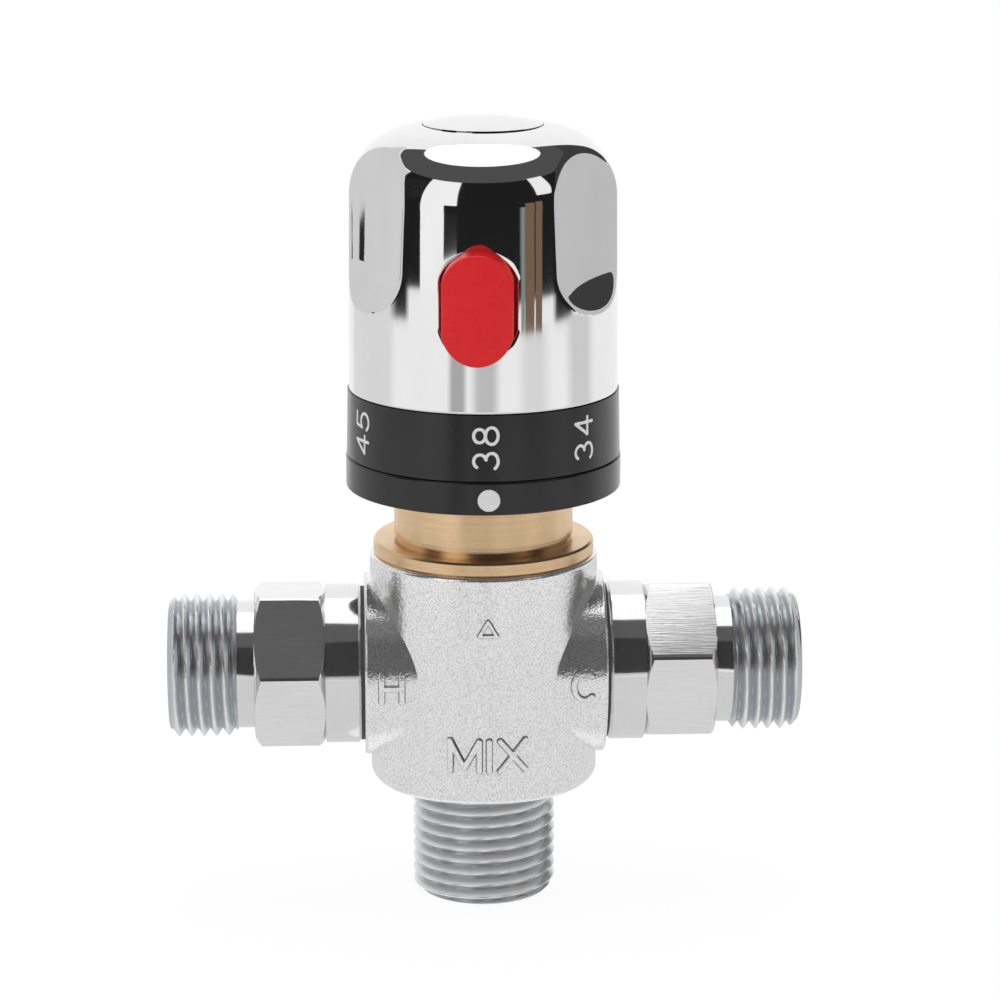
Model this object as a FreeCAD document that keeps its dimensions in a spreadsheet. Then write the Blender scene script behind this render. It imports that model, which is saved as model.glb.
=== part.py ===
import FreeCAD, Part
import math
import os
import re

import Sketcher

# Three-port mixing valve for half-inch pipework, in millimetres.
# Origin: centre of the mixed-water outlet's end face. +Z runs up the knob's axis.
# Hot water comes in from -X, cold from +X, and the index dot on the ring below the dial faces -Y.

doc = FreeCAD.newDocument("mixing_valve")
sheet = doc.addObject("Spreadsheet::Sheet", "Sizes")
SUB_PARTS = []

# Driving sizes: each is a cell of the sheet, named by its alias
SIZES = {
    # Pipe threads: half-inch parallel thread, given by its outside radius
    "thread_radius": 10.4775,
    "outlet_length": 17.3,
    "outlet_chamfer": 1.0,
    "outlet_bore_radius": 7.5,

    # Cast body
    "barrel_radius": 16.6,
    "barrel_rise": 17.0,
    "barrel_foot_round": 1.8,
    "barrel_rim_round": 0.5,
    "boss_radius": 13.35,
    "boss_stand": 0.9,
    "boss_round": 0.4,
    "port_rise": 17.2,
    "port_thread_radius": 10.0,
    "port_floor": 1.3,
    "chamber_depth": 2.0,
    "hot_chamber_height": 8.2,
    "chamber_web": 2.6,
    "bonnet_end_gap": 0.2,
    "sleeve_bore_radius": 10.0,
    "sleeve_drop": 14.0,
    "window_width": 9.0,
    "window_height": 4.6,
    "window_offset": 4.4,
    "body_thread_radius": 13.0,
    "seal_recess_width": 1.3,
    "seal_recess_depth": 1.4,

    # Inlet adapters, measured outwards from the valve's axis
    "fit": 0.05,
    "clearance": 0.3,
    "gasket_thickness": 0.5,
    "gasket_radius": 11.3,
    "adapter_end_gap": 0.2,
    "adapter_sleeve_radius": 11.65,
    "adapter_sleeve_length": 5.2,
    "adapter_sleeve_chamfer": 0.4,
    "hex_across_flats": 22.0,
    "hex_length": 10.3,
    "hex_turned_radius": 12.55,
    "hex_face_radius": 10.95,
    "hex_chamfer": 0.95,
    "neck_radius": 9.3,
    "neck_length": 2.5,
    "inlet_thread_length": 10.0,
    "inlet_chamfer_length": 1.2,
    "inlet_chamfer_depth": 1.3,
    "inlet_bore_radius": 6.5,
    "check_bore_radius": 8.0,
    "check_shoulder": 32.6,
    "hot_hex_turn": 25.5,
    "cold_hex_turn": 13.5,

    # Check valve and strainer in each adapter
    "strainer_thickness": 1.2,
    "strainer_web": 0.4,
    "strainer_hole_radius": 0.8,
    "strainer_hole_circle": 3.6,
    "strainer_hole_count": 8,
    "cage_length": 11.4,
    "cage_chamber_radius": 6.9,
    "cage_seat_length": 2.4,
    "cage_seat_radius": 4.6,
    "cage_floor": 1.2,
    "cage_hole_radius": 1.9,
    "cage_hole_circle": 4.6,
    "cage_hole_count": 3,
    "cage_groove_width": 1.4,
    "cage_groove_lip": 0.5,
    "small_ring_section": 0.6,
    "poppet_stem_radius": 1.5,
    "poppet_head_radius": 5.9,
    "poppet_head_length": 1.2,
    "poppet_tail": 1.8,
    "poppet_boss_radius": 2.8,
    "poppet_boss_length": 1.4,
    "washer_radius": 5.7,
    "washer_thickness": 0.77,
    "check_spring_radius": 2.6,
    "check_spring_wire": 0.3,
    "check_spring_turns": 4,

    # Temperature cartridge
    "sleeve_wall_bore": 7.65,
    "seat_ring_flange": 0.8,
    "sleeve_floor": 1.2,
    "sleeve_outlet_radius": 4.4,
    "sleeve_lip_radius": 6.1,
    "hot_seat_rise": 6.5,
    "sleeve_port_height": 4.0,
    "cold_port_drop": 2.2,
    "sleeve_port_width": 5.6,
    "sleeve_port_count": 6,
    "sleeve_groove_root": 8.75,
    "lower_groove_rise": 2.2,
    "seat_ring_skirt": 2.5,
    "seat_ring_bore": 6.4,
    "hot_opening": 1.75,
    "cold_opening": 0.7,
    "shuttle_bore": 6.2,
    "shuttle_web_rise": 4.75,
    "shuttle_web": 1.5,
    "shuttle_hole_radius": 0.9,
    "shuttle_hole_circle": 5.15,
    "shuttle_hole_count": 6,
    "shuttle_groove_root": 6.75,
    "shuttle_ring_section": 0.42,
    "element_bulb_radius": 3.8,
    "element_bulb_length": 10.5,
    "element_flange_radius": 4.7,
    "element_flange": 1.5,
    "element_guide_radius": 2.6,
    "element_guide_length": 4.5,
    "pin_radius": 1.2,
    "pin_seat_rise": 1.1,
    "pin_entry": 1.3,
    "return_spring_radius": 5.0,
    "return_spring_wire": 0.5,
    "return_spring_turns": 3,
    "cup_rise": 1.9,
    "cup_flange_radius": 6.0,
    "cup_flange": 1.0,
    "cup_tube_radius": 3.4,
    "cup_roof": 1.4,
    "nut_lip": 0.95,
    "nut_length": 12.05,
    "nut_across_flats": 17.0,
    "nut_chamber_radius": 6.35,
    "nut_thread_length": 4.5,
    "clip_thickness": 0.8,
    "clip_groove_depth": 0.55,
    "clip_width": 1.3,
    "overtravel_spring_radius": 5.3,
    "overtravel_spring_wire": 0.6,
    "overtravel_spring_turns": 2.5,

    # Brass bonnet
    "bonnet_spigot": 7.5,
    "flange_inset": 0.57,
    "flange_thickness": 2.1,
    "collar_radius": 13.0,
    "collar_groove_width": 0.7,
    "collar_groove_depth": 0.45,
    "collar_length": 9.6,
    "bonnet_neck_radius": 9.0,
    "bonnet_neck_length": 8.8,
    "bonnet_hex_depth": 16.0,
    "bonnet_ring_section": 0.68,
    "key_width": 1.6,
    "key_depth": 0.8,
    "key_length": 3.6,

    # Spindle
    "spindle_radius": 5.0,
    "spindle_thread_radius": 4.5,
    "spindle_thread_length": 8.4,
    "spindle_flange_radius": 6.5,
    "spindle_flange": 1.6,
    "thrust_gap": 0.1,
    "spindle_groove_root": 4.05,
    "spindle_groove_width": 1.3,
    "spindle_ring_section": 0.48,
    "spindle_groove_rise": 3.5,
    "spindle_groove_spacing": 4.0,
    "spline_radius": 4.9,
    "spline_rise": 10.1,
    "spline_depth": 0.6,
    "spline_width": 1.0,
    "spline_count": 8,
    "spindle_gap": 4.0,
    "screw_radius": 1.95,
    "screw_hole_depth": 10.0,

    # Index ring, dial ring and knob
    "ring_radius": 19.9,
    "ring_skirt": 1.6,
    "ring_web": 3.15,
    "ring_wall": 1.6,
    "ring_round": 0.3,
    "stop_inner_radius": 10.5,
    "stop_outer_radius": 12.5,
    "stop_height": 2.65,
    "stop_half_angle": 34.5,
    "stop_offset": 157.5,
    "lug_inner_radius": 13.2,
    "lug_outer_radius": 15.4,
    "lug_half_angle": 5.0,
    "lug_azimuth": 11.5,
    "dial_gap": 0.15,
    "dial_lower_radius": 19.78,
    "dial_upper_radius": 19.6,
    "dial_wall": 1.6,
    "dial_shelf": 1.6,
    "dial_spigot_bore": 15.9,
    "dial_spigot_length": 3.1,
    "knob_turn": -4.3,
    "dial_height": 9.4,
    "knob_height": 37.6,
    "knob_lower_radius": 19.42,
    "knob_upper_radius": 19.03,
    "knob_shoulder": 9.5,
    "knob_lower_cavity": 17.4,
    "knob_step_rise": 10.6,
    "knob_upper_cavity": 14.0,
    "knob_roof": 5.5,
    "grip_floor_bottom": 16.5,
    "grip_floor_top": 15.7,
    "grip_curve": 34.0,
    "grip_rise": 11.45,
    "grip_blend": 8.0,
    "grip_rim_round": 0.7,
    "grip_count": 3,
    "cap_recess_radius": 8.62,
    "cap_recess_depth": 3.0,
    "cap_radius": 8.56,
    "cap_stand": 0.12,
    "cap_crown": 1.38,
    "cap_gap": 0.15,
    "cap_wall": 1.2,
    "screw_head_radius": 3.6,
    "screw_head_height": 2.0,
    "screw_socket": 3.0,
    "screw_socket_depth": 1.2,
    "screw_length": 15.5,
    "hub_disc_thickness": 2.0,
    "hub_tube_radius": 8.0,
    "hub_fin_width": 1.6,
    "hub_fin_gap": 4.0,
    "rib_half_angle": 17.0,
    "rib_azimuth": 90.0,
    "stop_clearance": 0.4,

    # Push button in the knob's front
    "button_half_width": 5.35,
    "button_rise": 15.45,
    "button_half_straight": 3.85,
    "button_end_radius": 5.6,
    "button_face": 23.9,
    "button_edge_round": 0.3,
    "button_gap": 0.28,
    "button_back": 14.6,
    "button_flange": 1.7,
    "button_flange_margin": 1.5,
    "button_pocket": 16.4,
    "tongue_half_width": 2.4,
    "tongue_outer": 15.2,
    "tongue_inner": 13.4,
    "button_spring_radius": 2.2,
    "button_spring_wire": 0.35,
    "button_spring_turns": 3,
    "button_peg_radius": 1.5,
    "button_peg_length": 1.2,
}

# Places that follow from the sizes: each is a cell with the formula that adds it up
PLACES = {
    "boss_reach": "barrel_radius + boss_stand",
    "seal_recess_radius": "body_thread_radius + seal_recess_width",
    "flange_radius": "barrel_radius - flange_inset",
    "chamber_radius": "sleeve_bore_radius + chamber_depth",
    "port_height": "outlet_length + port_rise",
    "barrel_top": "port_height + barrel_rise",
    "hot_chamber_top": "port_height - chamber_web / 2",
    "hot_chamber_bottom": "hot_chamber_top - hot_chamber_height",
    "cold_chamber_bottom": "port_height + chamber_web / 2",
    "bonnet_bottom": "barrel_top - bonnet_spigot",
    "cold_chamber_top": "bonnet_bottom - bonnet_end_gap",
    "sleeve_seat": "port_height - sleeve_drop",
    "lower_groove": "sleeve_seat + lower_groove_rise",
    "sleeve_top": "bonnet_bottom - seat_ring_flange",
    "hot_seat": "sleeve_seat + hot_seat_rise",
    "hot_port_top": "hot_seat + sleeve_port_height",
    "cold_port_top": "sleeve_top - cold_port_drop",
    "cold_port_bottom": "cold_port_top - sleeve_port_height",
    "shuttle_bottom": "hot_seat + hot_opening",
    "shuttle_top": "sleeve_top - seat_ring_skirt - cold_opening",
    "shuttle_web_bottom": "shuttle_bottom + shuttle_web_rise",
    "element_bulb_bottom": "shuttle_web_bottom - element_bulb_length",
    "pin_bottom": "shuttle_web_bottom + pin_seat_rise",
    "cup_bottom": "bonnet_bottom + cup_rise",
    "pin_top": "cup_bottom + pin_entry",
    "cup_top": "pin_top + cup_roof",
    "nut_bottom": "cup_bottom - nut_lip",
    "nut_top": "nut_bottom + nut_length",
    "nut_chamber_top": "nut_top - nut_thread_length",
    "collar_top": "barrel_top + flange_thickness + collar_length",
    "bonnet_neck_top": "collar_top + bonnet_neck_length",
    "bonnet_hex_top": "bonnet_bottom + bonnet_hex_depth",
    "spindle_bottom": "bonnet_hex_top - spindle_thread_length",
    "spindle_lower_groove": "bonnet_hex_top + spindle_groove_rise",
    "spindle_upper_groove": "spindle_lower_groove + spindle_groove_spacing",
    "ring_bottom": "collar_top - ring_skirt",
    "ring_top": "collar_top + ring_web",
    "stop_top": "ring_top + stop_height",
    "knob_bottom": "ring_top + dial_gap + dial_height",
    "knob_top": "knob_bottom + knob_height",
    "knob_cavity_step": "knob_bottom + knob_step_rise",
    "knob_cavity_top": "knob_top - knob_roof",
    "grip_bottom": "knob_bottom + grip_rise",
    "cap_recess_floor": "knob_top - cap_recess_depth",
    "cap_edge": "knob_top + cap_stand",
    "cap_ceiling": "cap_recess_floor + screw_head_height + cap_gap",
    "screw_bottom": "cap_recess_floor - screw_length",
    "spline_bottom": "knob_bottom + spline_rise",
    "spindle_top": "knob_cavity_top - spindle_gap",
    "hub_fin_top": "knob_cavity_top - hub_fin_gap",
    "button_middle": "knob_bottom + button_rise",
}
CELLS = {alias: str(number) for alias, number in SIZES.items()}
CELLS.update({alias: "=" + formula for alias, formula in PLACES.items()})

for row, (alias, content) in enumerate(CELLS.items(), 1):
    sheet.set("A%d" % row, alias.replace("_", " "))
    sheet.set("B%d" % row, content)
    sheet.setAlias("B%d" % row, alias)
doc.recompute()


def bound(text):
    """The same formula with each size read from the sheet, for a setExpression."""
    return re.sub(r"[a-z_]+", lambda m: "Sizes." + m[0] if m[0] in CELLS else m[0], text)


def value(text):
    """The number that a formula of sizes gives now."""
    return float(sheet.evalExpression(text))


def sub_part(thing, name):
    """Give a finished piece its own name, and list it for the checks and the export."""
    thing.Label = name
    SUB_PARTS.append(thing)
    return thing


def new_body(name):
    """An empty design body for one piece."""
    return sub_part(doc.addObject("PartDesign::Body", name + "_body"), name)


def new_sketch(body, name, role="XZ_Plane", offset="0"):
    """A sketch on one of the body's own origin planes, moved along that plane's normal."""
    sketch = body.newObject("Sketcher::SketchObject", name)
    plane = [item for item in body.Origin.OriginFeatures if item.Role == role][0]
    sketch.AttachmentSupport = [(plane, "")]
    sketch.MapMode = "FlatFace"
    if offset != "0":
        sketch.setExpression("AttachmentOffset.Base.z", bound(offset))
    return sketch


def hold(sketch, kind, where, text):
    """One dimension of a sketch, bound to a formula of sizes. where is (edge, end) or an edge."""
    place = where if isinstance(where, tuple) else (where,)
    start = (-1, 1) if kind.startswith("Distance") else ()
    number = sketch.addConstraint(Sketcher.Constraint(kind, *start, *place, value(text)))
    sketch.setExpression("Constraints[%d]" % number, bound(text))


def place_corner(sketch, edge, x, y):
    """Hold a line's start at the point (x, y), given as two formulas."""
    if x == "0":
        sketch.addConstraint(Sketcher.Constraint("PointOnObject", edge, 1, -2))
    else:
        hold(sketch, "DistanceX", (edge, 1), x)
    if y == "0":
        sketch.addConstraint(Sketcher.Constraint("PointOnObject", edge, 1, -1))
    else:
        hold(sketch, "DistanceY", (edge, 1), y)


def outline(body, name, points, role="XZ_Plane", offset="0"):
    """A closed sketch of straight lines through points given as pairs of formulas."""
    sketch = new_sketch(body, name, role, offset)
    corners = [FreeCAD.Vector(value(x), value(y), 0) for x, y in points]
    count = len(corners)
    for i in range(count):
        sketch.addGeometry(Part.LineSegment(corners[i], corners[(i + 1) % count]))
    for i in range(count):
        sketch.addConstraint(Sketcher.Constraint("Coincident", i, 2, (i + 1) % count, 1))
    for i, (x, y) in enumerate(points):
        place_corner(sketch, i, x, y)
    return sketch


def hexagon_points(apothem):
    """Corners of a regular hexagon about the origin, from half its width across flats."""
    corners = [("0", "2 * %s * tan(30)" % apothem), ("0", "-2 * %s * tan(30)" % apothem)]
    right = [(apothem, "%s * tan(30)" % apothem), (apothem, "-%s * tan(30)" % apothem)]
    left = [("-" + x, y) for x, y in reversed(right)]
    return corners[:1] + right + corners[1:] + left


def box_outline(body, name, low, high, role="XZ_Plane", offset="0"):
    """A rectangular sketch between two opposite corners."""
    corners = [low, (high[0], low[1]), high, (low[0], high[1])]
    return outline(body, name, corners, role, offset)


def round_outline(body, name, radius, centre=("0", "0"), role="XY_Plane", offset="0"):
    """A sketch of one circle."""
    sketch = new_sketch(body, name, role, offset)
    middle = FreeCAD.Vector(value(centre[0]), value(centre[1]), 0)
    sketch.addGeometry(Part.Circle(middle, FreeCAD.Vector(0, 0, 1), value(radius)))
    hold(sketch, "Radius", 0, radius)
    if centre == ("0", "0"):
        sketch.addConstraint(Sketcher.Constraint("Coincident", 0, 3, -1, 1))
        return sketch
    for kind, axis, text in (("DistanceX", -2, centre[0]), ("DistanceY", -1, centre[1])):
        if text == "0":
            sketch.addConstraint(Sketcher.Constraint("PointOnObject", 0, 3, axis))
        else:
            hold(sketch, kind, (0, 3), text)
    return sketch


def turn(body, sketch, kind="PartDesign::Revolution", axis="V_Axis"):
    """Revolve a sketch a full turn about one of its axes, adding or (as a Groove) cutting."""
    feature = body.newObject(kind, sketch.Name + "_turned")
    feature.Profile = sketch
    feature.ReferenceAxis = (sketch, [axis])
    feature.Angle = 360
    return feature


def raise_pad(body, sketch, length, backwards=False, both_ways=False):
    """Extrude a sketch into added material."""
    pad = body.newObject("PartDesign::Pad", sketch.Name + "_pad")
    pad.Profile = sketch
    pad.setExpression("Length", bound(length))
    pad.Reversed = backwards
    if both_ways:
        pad.SideType = "Symmetric"
    return pad


def cut_pocket(body, sketch, length, backwards=False, both_ways=False):
    """Extrude a sketch into removed material."""
    pocket = body.newObject("PartDesign::Pocket", sketch.Name + "_cut")
    pocket.Profile = sketch
    pocket.setExpression("Length", bound(length))
    pocket.Reversed = backwards
    if both_ways:
        pocket.SideType = "Symmetric"
    return pocket


def repeat_round(body, features, count, role="Z_Axis"):
    """Repeat features evenly round one of the body's own axes."""
    pattern = body.newObject("PartDesign::PolarPattern", features[0].Name + "_round")
    pattern.Originals = features
    axis = [item for item in body.Origin.OriginFeatures if item.Role == role][0]
    pattern.Axis = (axis, [""])
    pattern.Angle = 360
    pattern.setExpression("Occurrences", bound(count))
    body.Tip = pattern
    return pattern


def edges_where(feature, test):
    """Names of the edges of a feature's shape that pass a test."""
    doc.recompute()
    found = enumerate(feature.Shape.Edges, 1)
    return ["Edge%d" % number for number, edge in found if test(edge)]


def is_circle(radius, height, direction="z"):
    """A test for full or part circles of one radius that lie at one place along an axis."""
    def test(edge):
        if not isinstance(edge.Curve, Part.Circle) or abs(edge.Curve.Radius - radius) > 1e-3:
            return False
        return abs(abs(getattr(edge.Curve.Center, direction)) - abs(height)) < 1e-3
    return test


def dress(body, feature, kind, edges, amount):
    """Fillet or chamfer the named edges."""
    dressed = body.newObject("PartDesign::" + kind, feature.Name + "_" + kind.lower())
    dressed.Base = (feature, edges)
    dressed.setExpression("Radius" if kind == "Fillet" else "Size", bound(amount))
    doc.recompute()
    return dressed


def turned_piece(name, points):
    """A piece turned about Z from one closed profile of (radius, height) formulas."""
    body = new_body(name)
    turn(body, outline(body, name + "_profile", points))
    return body


def seal_ring(name, radius, section, height):
    """A rubber O-ring about the knob's axis."""
    ring = sub_part(doc.addObject("Part::Torus", name + "_torus"), name)
    ring.setExpression("Radius1", bound(radius))
    ring.setExpression("Radius2", bound(section))
    ring.setExpression("Placement.Base.z", bound(height))
    return ring


def coil_spring(name, radius, wire, turns, bottom, top):
    """A round-wire compression spring about Z, its wire touching both end planes."""
    helix = doc.addObject("Part::Helix", name + "_helix")
    helix.setExpression("Radius", bound(radius))
    helix.setExpression("Height", bound("(%s) - (%s) - 2 * %s" % (top, bottom, wire)))
    helix.setExpression("Pitch", bound("((%s) - (%s) - 2 * %s) / %s" % (top, bottom, wire, turns)))
    helix.setExpression("Placement.Base.z", bound("(%s) + %s" % (bottom, wire)))
    section = doc.addObject("Part::Circle", name + "_section")
    section.setExpression("Radius", bound(wire))
    section.setExpression("Placement.Base.x", bound(radius))
    section.setExpression("Placement.Base.z", bound("(%s) + %s" % (bottom, wire)))
    section.Placement.Rotation = FreeCAD.Rotation(FreeCAD.Vector(1, 0, 0), 90)
    sweep = doc.addObject("Part::Sweep", name + "_sweep")
    sweep.Sections = [section]
    sweep.Spine = (helix, [])
    sweep.Solid = True
    sweep.Frenet = True
    return sub_part(sweep, name)


def lay_across(piece, side):
    """Turn a piece made along +Z so that it points out of the hot (-1) or cold (+1) port."""
    piece.Placement.Rotation = FreeCAD.Rotation(FreeCAD.Vector(0, 1, 0), 90 * side)
    piece.setExpression("Placement.Base.z", bound("port_height"))


def set_on_knob(piece):
    """Turn a piece that is modelled with the button at the front to where the knob stands."""
    piece.Placement.Rotation = FreeCAD.Rotation(FreeCAD.Vector(0, 0, 1), value("knob_turn"))


def arc_block(body, name, inner, outer, half_angle, azimuth, bottom, top):
    """A stop: part of a ring between two radii and two heights, centred at an azimuth from -Y."""
    sketch = box_outline(body, name, (inner, bottom), (outer, top))
    spin = FreeCAD.Rotation(FreeCAD.Vector(0, 1, 0), value(azimuth) - 90)
    sketch.AttachmentOffset = FreeCAD.Placement(FreeCAD.Vector(), spin)
    block = turn(body, sketch)
    block.Midplane = True
    block.setExpression("Angle", bound("2 * " + half_angle))
    return block


# Body casting

def valve_body():
    """Barrel with an outlet spigot, two port bosses, two water chambers and the bonnet's thread."""
    body = new_body("valve_body")
    shape = outline(body, "body_outside", [
        ("0", "0"),
        ("thread_radius - outlet_chamfer", "0"),
        ("thread_radius", "outlet_chamfer"),
        ("thread_radius", "outlet_length"),
        ("barrel_radius", "outlet_length"),
        ("barrel_radius", "barrel_top"),
        ("0", "barrel_top"),
    ])
    turn(body, shape)
    bosses = round_outline(body, "bosses", "boss_radius", ("0", "port_height"), "YZ_Plane")
    last = raise_pad(body, bosses, "2 * boss_reach", both_ways=True)
    foot = edges_where(last, is_circle(value("barrel_radius"), value("outlet_length")))
    last = dress(body, last, "Fillet", foot, "barrel_foot_round")
    rim = edges_where(last, is_circle(value("barrel_radius"), value("barrel_top")))
    last = dress(body, last, "Fillet", rim, "barrel_rim_round")
    ends = edges_where(last, is_circle(value("boss_radius"), value("boss_reach"), "x"))
    last = dress(body, last, "Fillet", ends, "boss_round")
    inside = outline(body, "body_inside", [
        ("0", "-1"),
        ("outlet_bore_radius", "-1"),
        ("outlet_bore_radius", "sleeve_seat"),
        ("sleeve_bore_radius", "sleeve_seat"),
        ("sleeve_bore_radius", "hot_chamber_bottom"),
        ("chamber_radius", "hot_chamber_bottom"),
        ("chamber_radius", "hot_chamber_top"),
        ("sleeve_bore_radius", "hot_chamber_top"),
        ("sleeve_bore_radius", "cold_chamber_bottom"),
        ("chamber_radius", "cold_chamber_bottom"),
        ("chamber_radius", "cold_chamber_top"),
        ("body_thread_radius", "cold_chamber_top"),
        ("body_thread_radius", "barrel_top - seal_recess_depth"),
        ("seal_recess_radius", "barrel_top - seal_recess_depth"),
        ("seal_recess_radius", "barrel_top + 1"),
        ("0", "barrel_top + 1"),
    ])
    turn(body, inside, "PartDesign::Groove")
    floor = "chamber_radius + port_floor"
    for side, name in ((-1, "hot"), (1, "cold")):
        sign = "-" if side < 0 else ""
        port = round_outline(
            body, name + "_port", "port_thread_radius", ("0", "port_height"), "YZ_Plane",
            "%s(%s)" % (sign, floor))
        cut_pocket(body, port, "boss_reach", backwards=side > 0)
        middle = "port_height + (%d) * window_offset" % side
        window = box_outline(
            body, name + "_window",
            ("-window_width / 2", middle + " - window_height / 2"),
            ("window_width / 2", middle + " + window_height / 2"), "YZ_Plane")
        cut_pocket(body, window, floor + " + 0.1", backwards=side > 0)


# Inlet adapters with their check valves

def inlet_adapter(name, side, hex_turn):
    """Turned adapter: threaded spigot, round sleeve, spanner hexagon, neck and pipe thread."""
    body = new_body(name + "_inlet_adapter")
    face = "boss_reach + gasket_thickness"
    sleeve_end = face + " + adapter_sleeve_length"
    hex_end = sleeve_end + " + hex_length"
    neck_end = hex_end + " + neck_length"
    tip = neck_end + " + inlet_thread_length"
    spigot = "port_thread_radius - fit"
    inner_end = "chamber_radius + port_floor + adapter_end_gap"
    blank = outline(body, name + "_adapter_blank", [
        ("check_bore_radius", inner_end),
        (spigot, inner_end),
        (spigot, face),
        ("adapter_sleeve_radius - adapter_sleeve_chamfer", face),
        ("adapter_sleeve_radius", face + " + adapter_sleeve_chamfer"),
        ("adapter_sleeve_radius", sleeve_end),
        ("hex_face_radius", sleeve_end),
        ("hex_turned_radius", sleeve_end + " + hex_chamfer"),
        ("hex_turned_radius", hex_end + " - hex_chamfer"),
        ("hex_face_radius", hex_end),
        ("neck_radius", hex_end),
        ("neck_radius", neck_end),
        ("thread_radius", neck_end),
        ("thread_radius", tip + " - inlet_chamfer_length"),
        ("thread_radius - inlet_chamfer_depth", tip),
        ("inlet_bore_radius", tip),
        ("inlet_bore_radius", "check_shoulder"),
        ("check_bore_radius", "check_shoulder"),
    ])
    turn(body, blank)
    flat = box_outline(
        body, name + "_adapter_flat", ("hex_across_flats / 2", sleeve_end),
        ("hex_turned_radius + 2", hex_end))
    flat_cut = cut_pocket(body, flat, "2 * hex_turned_radius", both_ways=True)
    repeat_round(body, [flat_cut], "6")
    lay_across(body, side)
    spin = FreeCAD.Rotation(FreeCAD.Vector(0, 0, 1), value(hex_turn) * side + 30)
    body.Placement.Rotation = body.Placement.Rotation.multiply(spin)


def adapter_gasket(name, side):
    """Thin ring that seals an adapter against its boss."""
    ring = turned_piece(name + "_adapter_gasket", [
        ("port_thread_radius", "boss_reach"),
        ("gasket_radius", "boss_reach"),
        ("gasket_radius", "boss_reach + gasket_thickness"),
        ("port_thread_radius", "boss_reach + gasket_thickness"),
    ])
    lay_across(ring, side)


def strainer(name, side):
    """Dished metal disc with a ring of holes, held between the check valve and the shoulder."""
    body = new_body(name + "_strainer")
    bottom = "check_shoulder - strainer_thickness"
    dish = outline(body, name + "_strainer_profile", [
        ("0", "check_shoulder - strainer_web"),
        ("check_bore_radius - fit - strainer_web", "check_shoulder - strainer_web"),
        ("check_bore_radius - fit - strainer_web", bottom),
        ("check_bore_radius - fit", bottom),
        ("check_bore_radius - fit", "check_shoulder"),
        ("0", "check_shoulder"),
    ])
    turn(body, dish)
    hole = round_outline(
        body, name + "_strainer_hole", "strainer_hole_radius", ("strainer_hole_circle", "0"),
        "XY_Plane", bottom)
    cut = cut_pocket(body, hole, "2 * strainer_thickness", backwards=True)
    repeat_round(body, [cut], "strainer_hole_count")
    lay_across(body, side)


CAGE_TOP = "(check_shoulder - strainer_thickness)"
CAGE_BOTTOM = "(%s - cage_length)" % CAGE_TOP
CAGE_SEAT = "(%s - cage_seat_length)" % CAGE_TOP
CAGE_GROOVE_TOP = "(%s - cage_groove_lip)" % CAGE_TOP
RING_ROOT = "(check_bore_radius - 2 * small_ring_section - fit)"


def check_cage(name, side):
    """Moulded cage of a check valve: seat at the outer end, stem guide at the inner end."""
    body = new_body(name + "_check_cage")
    outer = "check_bore_radius - fit"
    wall = outline(body, name + "_cage_profile", [
        ("poppet_stem_radius + fit", CAGE_BOTTOM),
        (outer, CAGE_BOTTOM),
        (outer, CAGE_GROOVE_TOP + " - cage_groove_width"),
        (RING_ROOT, CAGE_GROOVE_TOP + " - cage_groove_width"),
        (RING_ROOT, CAGE_GROOVE_TOP),
        (outer, CAGE_GROOVE_TOP),
        (outer, CAGE_TOP),
        ("cage_seat_radius", CAGE_TOP),
        ("cage_seat_radius", CAGE_SEAT),
        ("cage_chamber_radius", CAGE_SEAT),
        ("cage_chamber_radius", CAGE_BOTTOM + " + cage_floor"),
        ("poppet_stem_radius + fit", CAGE_BOTTOM + " + cage_floor"),
    ])
    turn(body, wall)
    hole = round_outline(
        body, name + "_cage_hole", "cage_hole_radius", ("cage_hole_circle", "0"),
        "XY_Plane", CAGE_BOTTOM + " - 1")
    cut = cut_pocket(body, hole, "cage_floor + 2", backwards=True)
    repeat_round(body, [cut], "cage_hole_count")
    lay_across(body, side)


def check_poppet(name, side):
    """Mushroom that the cold or hot supply pushes inwards, off its seat."""
    head_top = "(%s - washer_thickness - fit)" % CAGE_SEAT
    head_bottom = "(%s - poppet_head_length)" % head_top
    poppet = turned_piece(name + "_check_poppet", [
        ("0", CAGE_BOTTOM + " - poppet_tail"),
        ("poppet_stem_radius", CAGE_BOTTOM + " - poppet_tail"),
        ("poppet_stem_radius", head_bottom),
        ("poppet_head_radius", head_bottom),
        ("poppet_head_radius", head_top),
        ("poppet_boss_radius", head_top),
        ("poppet_boss_radius", head_top + " + poppet_boss_length"),
        ("0", head_top + " + poppet_boss_length"),
    ])
    lay_across(poppet, side)
    washer = turned_piece(name + "_check_washer", [
        ("poppet_boss_radius", head_top),
        ("washer_radius", head_top),
        ("washer_radius", head_top + " + washer_thickness"),
        ("poppet_boss_radius", head_top + " + washer_thickness"),
    ])
    lay_across(washer, side)
    spring = coil_spring(
        name + "_check_spring", "check_spring_radius", "check_spring_wire", "check_spring_turns",
        CAGE_BOTTOM + " + cage_floor", head_bottom)
    lay_across(spring, side)


def check_ring(name, side):
    """O-ring in the groove of a check valve's cage."""
    ring = seal_ring(
        name + "_check_oring", "check_bore_radius - small_ring_section - fit / 2",
        "small_ring_section", "port_height")
    middle = CAGE_GROOVE_TOP + " - cage_groove_width / 2"
    lay_across(ring, side)
    ring.setExpression("Placement.Base.x", bound("%d * (%s)" % (side, middle)))


# Temperature cartridge

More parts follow.
